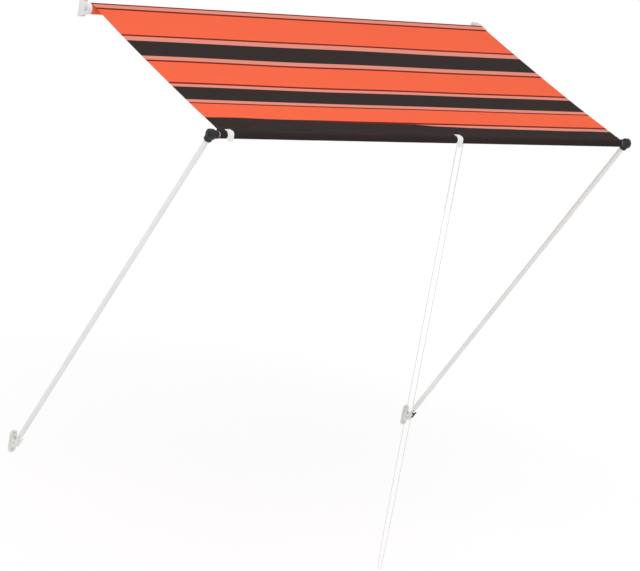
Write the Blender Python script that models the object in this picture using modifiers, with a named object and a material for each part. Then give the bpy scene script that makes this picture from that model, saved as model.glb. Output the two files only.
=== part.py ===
"""A drop-arm awning: a roller on wall brackets, a cloth, and a front bar on two hinged arms.

The frame: +X runs to the right along the roller, +Y into the wall, +Z up. The origin is on the
wall's face, level with the roller's axis, at the middle of the cloth's width.
"""

import math

import bmesh
import bpy
from mathutils import Matrix, Vector

MM = 0.001
GAP = 0.3 * MM
MERGE = 0.01 * MM

# Cloth
FABRIC_WIDTH = 2.000
FABRIC_THICKNESS = 0.8 * MM
FABRIC_SAG = 9.0 * MM
SHEET_PANELS = 16

# Roller
ROLLER_STANDOFF = 55.0 * MM
TUBE_RADIUS = 17.5 * MM
TUBE_WALL = 1.5 * MM
TUBE_OVERHANG = 4.0 * MM
WOUND_CLOTH = 5.0 * MM
ROLL_STEPS = 44
IDLE_FLANGE_RIM = 1.0 * MM
IDLE_FLANGE_CHAMFER = 1.5 * MM
IDLE_SPIGOT_LENGTH = 45.0 * MM
IDLE_PIN_RADIUS = 5.0 * MM
IDLE_PIN_REACH = 30.0 * MM

# Wall brackets
BRACKET_THICKNESS = 3.0 * MM
BRACKET_NOSE_RADIUS = 23.5 * MM
BRACKET_ABOVE = 28.0 * MM
BRACKET_BELOW = 43.0 * MM
BRACKET_FLANGE_WIDTH = 36.0 * MM
BRACKET_CORNER = 6.0 * MM
BRACKET_SCREW_INSET = 14.5 * MM
END_SPACE = 14.0 * MM
PIN_HEAD_OVERLAP = 3.0 * MM
PIN_HEAD_HEIGHT = 3.0 * MM
PIN_HEAD_CHAMFER = 1.0 * MM

# Chain drive
CHAIN_DIAMETER = 4.5 * MM
CHAIN_PITCH_RADIUS = 19.7 * MM
WHEEL_POCKETS = 20
WHEEL_WIDTH = 9.0 * MM
WHEEL_FLANGE_RIM = 1.8 * MM
WHEEL_GROOVE_DEPTH = 2.0 * MM
WHEEL_TEETH_DEPTH = 4.0 * MM
WHEEL_POCKET_DEPTH = 1.2 * MM
WHEEL_POCKET_SHARE = 0.28
WHEEL_HUB_LENGTH = 40.0 * MM
SPINDLE_RADIUS = 8.0 * MM
HOUSING_WALL = 1.8 * MM
HOUSING_CLEARANCE = 1.75 * MM
HOUSING_EDGE = 1.2 * MM
HOUSING_MOUTH_SHARE = 0.35

# Arms
ARM_LENGTH = 1.889
ARM_LEAN = math.radians(32.8)
ARM_RADIUS = 11.0 * MM
ARM_WALL = 1.2 * MM
ARM_NECK_LENGTH = 62.0 * MM
ARM_TOP_SETBACK = 13.0 * MM
ROD_RADIUS = 7.5 * MM
ROD_INSERT = 90.0 * MM
EYE_RADIUS = 11.0 * MM
EYE_THICKNESS = 12.0 * MM
EYE_NECK = 24.0 * MM
CATCH_LENGTH = 40.0 * MM
CATCH_WIDTH = 9.0 * MM
CATCH_THICKNESS = 4.0 * MM
CATCH_OFFSET = 17.0 * MM

# Knuckles at the arms' upper ends
KNUCKLE_RADIUS = 21.0 * MM
KNUCKLE_WIDTH = 23.2 * MM
KNUCKLE_NECK_RADIUS = 14.0 * MM
KNUCKLE_NECK_LENGTH = 34.0 * MM
KNUCKLE_EDGE = 4.0 * MM
AXLE_RADIUS = 6.0 * MM
SCREW_HEAD_RADIUS = 9.0 * MM
SCREW_HEAD_HEIGHT = 4.0 * MM

# Wall feet
FOOT_DROP = 1.828
FOOT_STANDOFF = 28.0 * MM
FOOT_WIDTH = 36.0 * MM
FOOT_HEIGHT = 98.0 * MM
FOOT_THICKNESS = 3.0 * MM
EAR_THICKNESS = 3.0 * MM
EAR_NOSE_RADIUS = 14.0 * MM
EAR_ROOT_HEIGHT = 52.0 * MM
FOOT_PIN_RADIUS = 4.0 * MM
FOOT_PIN_HEAD_HEIGHT = 2.5 * MM
FOOT_PIN_TAIL = 1.5 * MM
FOOT_SCREW_INSET = 11.0 * MM

# Front bar and its sleeve
BAR_RADIUS = 12.5 * MM
BAR_WALL = 1.3 * MM
BAR_OVERHANG = 4.0 * MM
PLUG_RADIUS = 16.0 * MM
PLUG_FLANGE = 16.0 * MM
PLUG_SPIGOT = 40.0 * MM
PLUG_EDGE = 1.2 * MM
AXLE_CHAMFER = 0.5 * MM
AXLE_BORE_SHARE = 0.45
WASHER_RADIUS = 14.0 * MM
WASHER_THICKNESS = 1.5 * MM
SLEEVE_TONGUE = 32.0 * MM
SLEEVE_SEAM = 12.0 * MM
NOTCH_LEFT_CENTRE = -0.955
NOTCH_LEFT_WIDTH = 29.0 * MM
NOTCH_MIDDLE_CENTRE = 0.130
NOTCH_MIDDLE_WIDTH = 22.0 * MM
NOTCH_BACK = 17.0 * MM
CLIP_WALL = 1.6 * MM
CLIP_SIDE_CLEARANCE = 1.5 * MM
CLIP_MOUTH_ANGLE = math.radians(62)

# Wall screws
SCREW_SHANK_RADIUS = 2.7 * MM
WALL_SCREW_HEAD_RADIUS = 5.2 * MM
WALL_SCREW_HEAD_HEIGHT = 2.6 * MM

# Places that follow from the sizes above
ROLLER_AXIS = Vector((0.0, -ROLLER_STANDOFF, 0.0))
FOOT_PIVOT_Y = -FOOT_STANDOFF
FOOT_PIVOT_Z = -FOOT_DROP
BAR_AXIS = Vector((
    0.0,
    FOOT_PIVOT_Y - ARM_LENGTH * math.sin(ARM_LEAN),
    FOOT_PIVOT_Z + ARM_LENGTH * math.cos(ARM_LEAN),
))
FABRIC_END = FABRIC_WIDTH / 2
TUBE_END = FABRIC_END + TUBE_OVERHANG
PLATE_INNER = TUBE_END + END_SPACE
PLATE_OUTER = PLATE_INNER + BRACKET_THICKNESS
WHEEL_CENTRE = TUBE_END + HOUSING_WALL + 2 * GAP + WHEEL_WIDTH / 2
BAR_END = FABRIC_END + BAR_OVERHANG
ARM_X = BAR_END + PLUG_FLANGE + WASHER_THICKNESS + 3 * GAP + KNUCKLE_WIDTH / 2
ROLL_RADIUS = TUBE_RADIUS + WOUND_CLOTH
IDLE_FLANGE_RADIUS = ROLL_RADIUS + IDLE_FLANGE_RIM
SLEEVE_MID_RADIUS = BAR_RADIUS + GAP + FABRIC_THICKNESS / 2
SHEET_ROLL_RADIUS = ROLL_RADIUS + GAP + FABRIC_THICKNESS / 2
WHEEL_FLANGE_RADIUS = CHAIN_PITCH_RADIUS + WHEEL_FLANGE_RIM
HOUSING_RADIUS = CHAIN_PITCH_RADIUS + CHAIN_DIAMETER / 2 + HOUSING_CLEARANCE + HOUSING_WALL
BRACKET_SCREW_SPACING = BRACKET_ABOVE + BRACKET_BELOW - 2 * BRACKET_SCREW_INSET
FOOT_SCREW_SPACING = FOOT_HEIGHT - 2 * FOOT_SCREW_INSET
NOTCHES = (
    ("left", NOTCH_LEFT_CENTRE, NOTCH_LEFT_WIDTH),
    ("middle", NOTCH_MIDDLE_CENTRE, NOTCH_MIDDLE_WIDTH),
)

# Orientations: a plate's outline is (y, z) across X, or (x, z) against the wall
ACROSS_X = Matrix(((0, 0, 1, 0), (1, 0, 0, 0), (0, 1, 0, 0), (0, 0, 0, 1)))
AGAINST_WALL = Matrix(((1, 0, 0, 0), (0, 0, -1, 0), (0, 1, 0, 0), (0, 0, 0, 1)))
AXIS_ALONG_X = Matrix.Rotation(math.pi / 2, 4, "Y")
AXIS_OUT_OF_WALL = Matrix.Rotation(math.pi / 2, 4, "X")

SIDES = (("left", -1), ("right", 1))
LEVELS = ("upper", "lower")


# Scene and materials


def clear_scene():
    """Remove every object of the open file."""
    for obj in list(bpy.data.objects):
        bpy.data.objects.remove(obj, do_unlink=True)


def new_collection(name):
    """Link a new collection to the scene."""
    collection = bpy.data.collections.new(name)
    bpy.context.scene.collection.children.link(collection)
    return collection


PARTS = None
CUTTERS = None


def material(name, colour, roughness, metallic=0.0):
    """Make a Principled material with the finish of one sub-part."""
    mat = bpy.data.materials.new(name)
    mat.use_nodes = True
    shader = mat.node_tree.nodes["Principled BSDF"]
    shader.inputs["Base Color"].default_value = (*colour, 1.0)
    shader.inputs["Roughness"].default_value = roughness
    shader.inputs["Metallic"].default_value = metallic
    mat.diffuse_color = (*colour, 1.0)
    return mat


def white_steel(name):
    """White powder-coated steel."""
    return material(name, (0.80, 0.80, 0.77), 0.42, 0.0)


def bare_steel(name):
    """Zinc-plated steel of pins and screws."""
    return material(name, (0.62, 0.62, 0.60), 0.35, 1.0)


def black_plastic(name):
    """Black moulded plastic."""
    return material(name, (0.028, 0.028, 0.028), 0.45, 0.0)


def white_plastic(name):
    """White moulded plastic."""
    return material(name, (0.78, 0.78, 0.75), 0.40, 0.0)


def cloth(name, colour):
    """Woven polyester."""
    return material(name, colour, 0.85, 0.0)


# Building blocks


def finish(obj, mat, collection, parent=None):
    """Give an object its material, collection and parent, and keep its place."""
    obj.data.materials.clear()
    obj.data.materials.append(mat)
    collection.objects.link(obj)
    if parent is not None:
        obj.parent = parent
    return obj


def axis_empty(name, location, lean=0.0):
    """Stand an empty on a joint's axis, leaned about X."""
    empty = bpy.data.objects.new(name, None)
    empty.matrix_world = Matrix.Translation(location) @ Matrix.Rotation(lean, 4, "X")
    PARTS.objects.link(empty)
    return empty


def turned(name, profile, steps, place, mat, parent=None, collection=None):
    """Turn a closed profile of (radius, height) about local Z with a Screw modifier."""
    mesh = bpy.data.meshes.new(name)
    bm = bmesh.new()
    points = [bm.verts.new((radius, 0.0, height)) for radius, height in profile]
    for start, end in zip(points, points[1:]):
        bm.edges.new((start, end))
    if profile[0][0] > MERGE or profile[-1][0] > MERGE:
        bm.edges.new((points[-1], points[0]))
    bm.to_mesh(mesh)
    bm.free()
    obj = bpy.data.objects.new(name, mesh)
    obj.matrix_local = place
    screw = obj.modifiers.new("Turn", "SCREW")
    screw.axis = "Z"
    screw.angle = math.tau
    screw.steps = steps
    screw.render_steps = steps
    screw.use_merge_vertices = True
    screw.merge_threshold = MERGE
    screw.use_smooth_shade = True
    return finish(obj, mat, collection or PARTS, parent)


def outline_plate(name, outlines, thickness, place, mat, parent=None, collection=None):
    """Extrude a flat outline, with any inner outlines as holes, evenly about its plane."""
    curve = bpy.data.curves.new(name, "CURVE")
    curve.dimensions = "2D"
    curve.fill_mode = "BOTH"
    curve.extrude = thickness / 2
    for outline in outlines:
        spline = curve.splines.new("POLY")
        spline.points.add(len(outline) - 1)
        for point, (u, v) in zip(spline.points, outline):
            point.co = (u, v, 0.0, 1.0)
        spline.use_cyclic_u = True
    obj = bpy.data.objects.new(name, curve)
    obj.matrix_local = place
    return finish(obj, mat, collection or PARTS, parent)


def bent_tube(name, points, radius, resolution, mat, parent=None):
    """Sweep a round section along a polyline, with closed ends."""
    curve = bpy.data.curves.new(name, "CURVE")
    curve.dimensions = "3D"
    curve.bevel_depth = radius
    curve.bevel_resolution = resolution
    curve.use_fill_caps = True
    spline = curve.splines.new("POLY")
    spline.points.add(len(points) - 1)
    for point, place in zip(spline.points, points):
        point.co = (*place, 1.0)
    obj = bpy.data.objects.new(name, curve)
    return finish(obj, mat, PARTS, parent)


def box(name, low, high, mat, place=None, parent=None, collection=None):
    """A box between two corners in its own frame."""
    low, high = Vector(low), Vector(high)
    bm = bmesh.new()
    bmesh.ops.create_cube(bm, size=1.0)
    bmesh.ops.scale(bm, vec=high - low, verts=bm.verts)
    bmesh.ops.translate(bm, vec=(high + low) / 2, verts=bm.verts)
    mesh = bpy.data.meshes.new(name)
    bm.to_mesh(mesh)
    bm.free()
    obj = bpy.data.objects.new(name, mesh)
    if place is not None:
        obj.matrix_local = place
    return finish(obj, mat, collection or PARTS, parent)


def as_mesh(obj):
    """Replace a curve or modified object by the mesh it makes, in the same place."""
    bpy.context.view_layer.update()
    graph = bpy.context.evaluated_depsgraph_get()
    mesh = bpy.data.meshes.new_from_object(obj.evaluated_get(graph))
    bm = bmesh.new()
    bm.from_mesh(mesh)
    bmesh.ops.remove_doubles(bm, verts=bm.verts, dist=MERGE)
    bmesh.ops.recalc_face_normals(bm, faces=bm.faces)
    bm.to_mesh(mesh)
    bm.free()
    name, parent, place = obj.name, obj.parent, obj.matrix_local.copy()
    collections = list(obj.users_collection)
    bpy.data.objects.remove(obj, do_unlink=True)
    solid = bpy.data.objects.new(name, mesh)
    for collection in collections:
        collection.objects.link(solid)
    solid.parent = parent
    solid.matrix_local = place
    return solid


def as_cutter(obj):
    """Hide a helper from the render and show it as wire."""
    obj.hide_render = True
    obj.display_type = "WIRE"
    return obj


def combine(obj, other, operation):
    """Join another solid to this one, or cut it away, with a Boolean modifier."""
    as_cutter(other)
    modifier = obj.modifiers.new(operation.title(), "BOOLEAN")
    modifier.operation = operation
    modifier.solver = "EXACT"
    modifier.object = other
    return obj


def edge_bevel(obj, width, segments=2):
    """Round the sharp edges of a solid."""
    modifier = obj.modifiers.new("Round edges", "BEVEL")
    modifier.width = width
    modifier.segments = segments
    modifier.limit_method = "ANGLE"
    modifier.angle_limit = math.radians(50)
    return obj


def ring_profile(inner, outer, low, high):
    """The closed section of a plain ring, down its outer side first."""
    return [(outer, high), (outer, low), (inner, low), (inner, high)]


def rod_profile(radius, low, high):
    """The half section of a plain cylinder, from the top of its axis."""
    return [(0.0, high), (radius, high), (radius, low), (0.0, low)]


def circle(centre, radius, count):
    """Points round a circle."""
    return [
        (
            centre[0] + radius * math.cos(math.tau * i / count),
            centre[1] + radius * math.sin(math.tau * i / count),
        )
        for i in range(count)
    ]


def arc(centre, radius, start, end, count):
    """Points along an arc, both ends included."""
    return [
        (
            centre[0] + radius * math.cos(start + (end - start) * i / count),
            centre[1] + radius * math.sin(start + (end - start) * i / count),
        )
        for i in range(count + 1)
    ]


def tangent_angle(point, centre, radius, side):
    """The angle on a circle where a line from an outside point touches it."""
    away = math.atan2(point[1] - centre[1], point[0] - centre[0])
    distance = math.hypot(point[0] - centre[0], point[1] - centre[1])
    return away + side * math.acos(radius / distance)


def nosed_outline(top, bottom, nose, radius, count=14):
    """A straight root from top to bottom that tapers to a round nose on the outer side."""
    start = tangent_angle(top, nose, radius, 1)
    end = tangent_angle(bottom, nose, radius, -1)
    start %= math.tau
    end %= math.tau
    return [bottom, top] + arc(nose, radius, start, end, count)


def obround(width, height, count=8):
    """An upright outline with half-round ends."""
    radius = width / 2
    rise = height / 2 - radius
    return arc((0.0, rise), radius, 0.0, math.pi, count) + arc(
        (0.0, -rise), radius, math.pi, math.tau, count
    )


def x_place(x, at=Vector((0.0, 0.0, 0.0))):
    """Place a piece turned about local Z so that its axis runs along X."""
    return Matrix.Translation(Vector((x, at.y, at.z))) @ AXIS_ALONG_X


# The line of the cloth


def cloth_line():
    """The cloth's mid line from the top of the roll to the top of the bar, and its normal."""
    run = BAR_AXIS - ROLLER_AXIS
    length = run.length
    along = run / length
    upward = Vector((0.0, along.z, -along.y))
    lift = (SHEET_ROLL_RADIUS - SLEEVE_MID_RADIUS) / length
    normal = (upward * math.sqrt(1 - lift * lift) + along * lift).normalized()
    start = ROLLER_AXIS + normal * SHEET_ROLL_RADIUS
    end = BAR_AXIS + normal * SLEEVE_MID_RADIUS
    return start, end, normal


# Wall screws, brackets and feet


def wall_screw(name, x, z, plate):
    """A pan-head wall screw whose shank fills the hole of a plate of this thickness."""
    seat = plate + GAP
    top = seat + WALL_SCREW_HEAD_HEIGHT
    profile = [
        (0.0, top),
        (WALL_SCREW_HEAD_RADIUS * 0.7, top),
        (WALL_SCREW_HEAD_RADIUS, seat + WALL_SCREW_HEAD_HEIGHT * 0.45),
        (WALL_SCREW_HEAD_RADIUS, seat),
        (SCREW_SHANK_RADIUS, seat),
        (SCREW_SHANK_RADIUS, 0.0),
        (0.0, 0.0),
    ]
    place = Matrix.Translation((x, 0.0, z)) @ AXIS_OUT_OF_WALL
    turned(name, profile, 16, place, bare_steel(name))


def wall_bracket(side, sign):
    """A bent plate: a flange on the wall behind the roll and a nosed cheek at the roller's end."""
    name = f"bracket_{side}"
    mat = white_steel(name)
    flange_centre = sign * (PLATE_OUTER - BRACKET_FLANGE_WIDTH / 2)
    middle = (BRACKET_ABOVE - BRACKET_BELOW) / 2
    height = BRACKET_ABOVE + BRACKET_BELOW
    half = BRACKET_FLANGE_WIDTH / 2
    inner = -sign * half
    flange = [
        (-inner, -height / 2),
        (-inner, height / 2),
        (inner + sign * BRACKET_CORNER, height / 2),
        (inner, height / 2 - BRACKET_CORNER),
        (inner, -height / 2 + BRACKET_CORNER),
        (inner + sign * BRACKET_CORNER, -height / 2),
    ]
    screws = [(0.0, BRACKET_SCREW_SPACING / 2), (0.0, -BRACKET_SCREW_SPACING / 2)]
    holes = [circle(place, SCREW_SHANK_RADIUS + GAP, 16) for place in screws]
    back = Matrix.Translation((flange_centre, -BRACKET_THICKNESS / 2, middle)) @ AGAINST_WALL
    bracket = as_mesh(outline_plate(name, [flange, *holes], BRACKET_THICKNESS, back, mat))

    cheek_outline = nosed_outline(
        (0.0, BRACKET_ABOVE), (0.0, -BRACKET_BELOW),
        (ROLLER_AXIS.y, ROLLER_AXIS.z), BRACKET_NOSE_RADIUS,
    )
    centre = sign * (PLATE_INNER + PLATE_OUTER) / 2
    bore = IDLE_PIN_RADIUS if sign < 0 else SPINDLE_RADIUS
    hole = circle((ROLLER_AXIS.y, ROLLER_AXIS.z), bore + GAP, 24)
    place = Matrix.Translation((centre, 0.0, 0.0)) @ ACROSS_X
    cheek = as_mesh(outline_plate(
        f"{name}_cheek", [cheek_outline, hole], BRACKET_THICKNESS, place, mat, None, CUTTERS,
    ))
    combine(bracket, cheek, "UNION")
    for level, (x, z) in zip(LEVELS, screws):
        wall_screw(
            f"bracket_screw_{side}_{level}", flange_centre + x, middle + z, BRACKET_THICKNESS,
        )


def wall_foot(side, sign):
    """A wall plate with two ears that hold the arm's hinge pin."""
    name = f"foot_{side}"
    mat = white_steel(name)
    centre = sign * ARM_X
    screws = [(0.0, FOOT_SCREW_SPACING / 2), (0.0, -FOOT_SCREW_SPACING / 2)]
    holes = [circle(place, SCREW_SHANK_RADIUS + GAP, 16) for place in screws]
    back = Matrix.Translation((centre, -FOOT_THICKNESS / 2, FOOT_PIVOT_Z)) @ AGAINST_WALL
    plate = obround(FOOT_WIDTH, FOOT_HEIGHT)
    foot = as_mesh(outline_plate(name, [plate, *holes], FOOT_THICKNESS, back, mat))

    root = FOOT_THICKNESS / 2
    ear_outline = nosed_outline(
        (-root, EAR_ROOT_HEIGHT / 2), (-root, -EAR_ROOT_HEIGHT / 2),
        (FOOT_PIVOT_Y, 0.0), EAR_NOSE_RADIUS,
    )
    hole = circle((FOOT_PIVOT_Y, 0.0), FOOT_PIN_RADIUS + GAP, 16)
    ear_offset = EYE_THICKNESS / 2 + GAP + EAR_THICKNESS / 2
    for label, shift in (("inner", -ear_offset), ("outer", ear_offset)):
        place = Matrix.Translation((centre + shift, 0.0, FOOT_PIVOT_Z)) @ ACROSS_X
        ear = as_mesh(outline_plate(
            f"{name}_{label}_ear", [ear_outline, hole], EAR_THICKNESS, place, mat, None, CUTTERS,
        ))
        combine(foot, ear, "UNION")

    for level, (x, z) in zip(LEVELS, screws):
        wall_screw(f"foot_screw_{side}_{level}", centre + x, FOOT_PIVOT_Z + z, FOOT_THICKNESS)
    reach = ear_offset + EAR_THICKNESS / 2
    headed_pin(
        f"foot_pin_{side}", FOOT_PIN_RADIUS, FOOT_PIN_HEAD_HEIGHT, reach, -reach - FOOT_PIN_TAIL,
        x_place(centre, Vector((0.0, FOOT_PIVOT_Y, FOOT_PIVOT_Z))),
    )


def headed_pin(name, radius, head_height, seat, low, place):
    """A steel pin from low up to the plate's face at seat, and its chamfered head beyond it."""
    head = radius + PIN_HEAD_OVERLAP
    crown = seat + GAP + head_height
    profile = [
        (0.0, crown),
        (head - PIN_HEAD_CHAMFER, crown),
        (head, crown - PIN_HEAD_CHAMFER),
        (head, seat + GAP),
        (radius, seat + GAP),
        (radius, low),
        (0.0, low),
    ]
    turned(name, profile, 24, place, bare_steel(name))


# Roller


def roller(axis):
    """The tube, the idle plug in its left end and the wound turns of cloth."""
    turned(
        "roller_tube",
        ring_profile(TUBE_RADIUS - TUBE_WALL, TUBE_RADIUS, -TUBE_END, TUBE_END),
        36, AXIS_ALONG_X, bare_steel("roller_tube"), axis,
    )
    spigot = TUBE_RADIUS - TUBE_WALL - GAP
    pin_bore = IDLE_PIN_RADIUS + GAP
    flange_in = GAP
    flange_out = END_SPACE - GAP
    profile = [
        (TUBE_RADIUS, flange_out),
        (IDLE_FLANGE_RADIUS - IDLE_FLANGE_CHAMFER, flange_out),
        (IDLE_FLANGE_RADIUS, flange_out - IDLE_FLANGE_CHAMFER),
        (IDLE_FLANGE_RADIUS, flange_in),
        (spigot, flange_in),
        (spigot, -IDLE_SPIGOT_LENGTH),
        (pin_bore, -IDLE_SPIGOT_LENGTH),
        (pin_bore, flange_out),
    ]
    to_left = Matrix.Translation((-TUBE_END, 0.0, 0.0)) @ Matrix.Rotation(-math.pi / 2, 4, "Y")
    turned("idle_plug", profile, 36, to_left, white_plastic("idle_plug"), axis)
    fabric_roll(axis)


def fabric_roll(axis):
    """The wound turns: a spiral edge that steps in by one thickness where the cloth leaves."""
    _, _, normal = cloth_line()
    leave = math.atan2(normal.z, normal.y)
    outer = []
    for i in range(ROLL_STEPS + 1):
        turn = i / ROLL_STEPS
        radius = ROLL_RADIUS - FABRIC_THICKNESS * turn
        angle = leave - math.tau * turn
        outer.append((radius * math.cos(angle), radius * math.sin(angle)))
    inner = circle((0.0, 0.0), TUBE_RADIUS + GAP, 36)
    outline_plate(
        "fabric_roll", [outer, inner], FABRIC_WIDTH, ACROSS_X,
        cloth("fabric_roll", (0.86, 0.17, 0.07)), axis,
    )


def idle_pin():
    """The headed pin that the left bracket holds in the idle plug."""
    place = (
        Matrix.Translation((-PLATE_INNER, ROLLER_AXIS.y, ROLLER_AXIS.z))
        @ Matrix.Rotation(-math.pi / 2, 4, "Y")
    )
    headed_pin(
        "idle_pin", IDLE_PIN_RADIUS, PIN_HEAD_HEIGHT, BRACKET_THICKNESS, -IDLE_PIN_REACH, place,
    )


# Chain drive


def chain_wheel(axis):
    """A flanged wheel with a pocket for each bead, and the hub that turns the tube."""
    mat = white_plastic("chain_wheel")
    half = WHEEL_WIDTH / 2
    groove = CHAIN_DIAMETER / 2 + GAP
    core = CHAIN_PITCH_RADIUS - CHAIN_DIAMETER / 2 - GAP
    hub = TUBE_RADIUS - TUBE_WALL - GAP
    hub_end = WHEEL_CENTRE - TUBE_END + WHEEL_HUB_LENGTH
    bore = SPINDLE_RADIUS + GAP
    profile = [
        (WHEEL_FLANGE_RADIUS, half),
        (WHEEL_FLANGE_RADIUS, groove),
        (core - WHEEL_GROOVE_DEPTH, groove),
        (core - WHEEL_GROOVE_DEPTH, -groove),
        (WHEEL_FLANGE_RADIUS, -groove),
        (WHEEL_FLANGE_RADIUS, -half),
        (hub, -half),
        (hub, -hub_end),
        (bore, -hub_end),
        (bore, half),
    ]
    place = x_place(WHEEL_CENTRE)
    wheel = as_mesh(turned("chain_wheel", profile, 40, place, mat, axis))
    teeth_outline = []
    width = math.tau / WHEEL_POCKETS
    share = WHEEL_POCKET_SHARE * width
    for pocket in range(WHEEL_POCKETS):
        middle = width * pocket
        corners = (
            (core, middle - share), (core, middle + share),
            (core - WHEEL_POCKET_DEPTH, middle + width / 2),
        )
        teeth_outline += [
            (radius * math.cos(angle), radius * math.sin(angle)) for radius, angle in corners
        ]
    ring_hole = circle((0.0, 0.0), core - WHEEL_TEETH_DEPTH, 40)
    teeth = as_mesh(outline_plate(
        "chain_wheel_pockets", [teeth_outline, ring_hole], 2 * groove + GAP,
        Matrix.Translation((WHEEL_CENTRE, 0.0, 0.0)) @ ACROSS_X, mat, axis, CUTTERS,
    ))
    combine(wheel, teeth, "UNION")


def chain_housing():
    """A drum over the wheel, open below where the chain hangs out, and the fixed spindle."""
    mat = white_plastic("clutch_housing")
    inner_face = TUBE_END + GAP
    outer_face = PLATE_INNER - GAP
    neck = TUBE_RADIUS - TUBE_WALL
    profile = [
        (HOUSING_RADIUS - HOUSING_EDGE, outer_face),
        (HOUSING_RADIUS, outer_face - HOUSING_EDGE),
        (HOUSING_RADIUS, inner_face + HOUSING_EDGE),
        (HOUSING_RADIUS - HOUSING_EDGE, inner_face),
        (neck, inner_face),
        (neck, inner_face + HOUSING_WALL),
        (HOUSING_RADIUS - HOUSING_WALL, inner_face + HOUSING_WALL),
        (HOUSING_RADIUS - HOUSING_WALL, outer_face),
    ]
    profile = [(radius, height - inner_face) for radius, height in profile]
    housing = as_mesh(turned("clutch_housing", profile, 40, x_place(inner_face, ROLLER_AXIS), mat))
    mouth = box(
        "clutch_housing_mouth",
        (inner_face + HOUSING_WALL, ROLLER_AXIS.y - HOUSING_RADIUS, -2 * HOUSING_RADIUS),
        (PLATE_OUTER, ROLLER_AXIS.y + HOUSING_RADIUS, -HOUSING_MOUTH_SHARE * HOUSING_RADIUS),
        mat, None, None, CUTTERS,
    )
    combine(housing, mouth, "DIFFERENCE")

    headed_pin(
        "clutch_spindle", SPINDLE_RADIUS, PIN_HEAD_HEIGHT, BRACKET_THICKNESS, -WHEEL_HUB_LENGTH,
        x_place(PLATE_INNER, ROLLER_AXIS),
    )


def smooth_line(route, per_span):
    """Points of a Catmull-Rom curve through the route's own points."""
    line = []
    last = len(route) - 1
    for i in range(last):
        before, start = route[max(i - 1, 0)], route[i]
        end, after = route[i + 1], route[min(i + 2, last)]
        for step in range(per_span):
            t = step / per_span
            line.append(
                0.5 * (
                    2 * start + (end - before) * t
                    + (2 * before - 5 * start + 4 * end - after) * t * t
                    + (3 * start - before - 3 * end + after) * t * t * t
                )
            )
    line.append(route[-1])
    return line


# The hanging loop: how far each point of the front strand lies from the loop's middle line,
# and how far below the roller's axis, from the wheel down to the bottom of the loop
CHAIN_ROUTE = (
    (0.0197, 0.012), (0.0197, 0.060), (0.0196, 0.300), (0.0195, 0.700), (0.0194, 1.100),
    (0.0192, 1.500), (0.0188, 1.900), (0.0180, 2.200), (0.0168, 2.380), (0.0150, 2.480),
    (0.0128, 2.535), (0.0104, 2.562), (0.0068, 2.576), (0.0, 2.580),
)


def bead_chain():
    """The hanging loop, and the stretch that lies over the wheel."""
    down = [Vector((WHEEL_CENTRE, ROLLER_AXIS.y - out, -drop)) for out, drop in CHAIN_ROUTE]
    up = [Vector((WHEEL_CENTRE, ROLLER_AXIS.y + out, -drop)) for out, drop in CHAIN_ROUTE[-2::-1]]
    points = smooth_line(down + up, 3)
    bent_tube(
        "bead_chain", points, CHAIN_DIAMETER / 2, 2, white_plastic("bead_chain"),
    )
    start_drop = CHAIN_ROUTE[0][1] - GAP - CHAIN_DIAMETER * 0.4
    over = [Vector((WHEEL_CENTRE, ROLLER_AXIS.y - CHAIN_PITCH_RADIUS, -start_drop))]
    for y, z in arc((ROLLER_AXIS.y, 0.0), CHAIN_PITCH_RADIUS, math.pi, 0.0, 24):
        over.append(Vector((WHEEL_CENTRE, y, z)))
    over.append(Vector((WHEEL_CENTRE, ROLLER_AXIS.y + CHAIN_PITCH_RADIUS, -start_drop)))
    bent_tube(
        "chain_on_wheel", over, CHAIN_DIAMETER / 2, 2, white_plastic("chain_on_wheel"),
    )


# Cloth and its sleeve


def fabric_sheet():
    """The drawn-out cloth: one thin curved solid that sags a little between roll and sleeve."""
    start, end, normal = cloth_line()
    along = (end - start).normalized()
    stop = end - along * (SLEEVE_TONGUE + GAP)
    span = stop - start
    upper, lower = [], []
    for i in range(SHEET_PANELS + 1):
        t = i / SHEET_PANELS
        sag = 4 * FABRIC_SAG * t * (1 - t)
        middle = start + span * t - normal * sag
        upper.append(middle + normal * FABRIC_THICKNESS / 2)
        lower.append(middle - normal * FABRIC_THICKNESS / 2)
    outline = [(p.y, p.z) for p in upper + lower[::-1]]
    mat = cloth("fabric_sheet", (0.86, 0.17, 0.07))
    outline_plate("fabric_sheet", [outline], FABRIC_WIDTH, ACROSS_X, mat)


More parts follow.
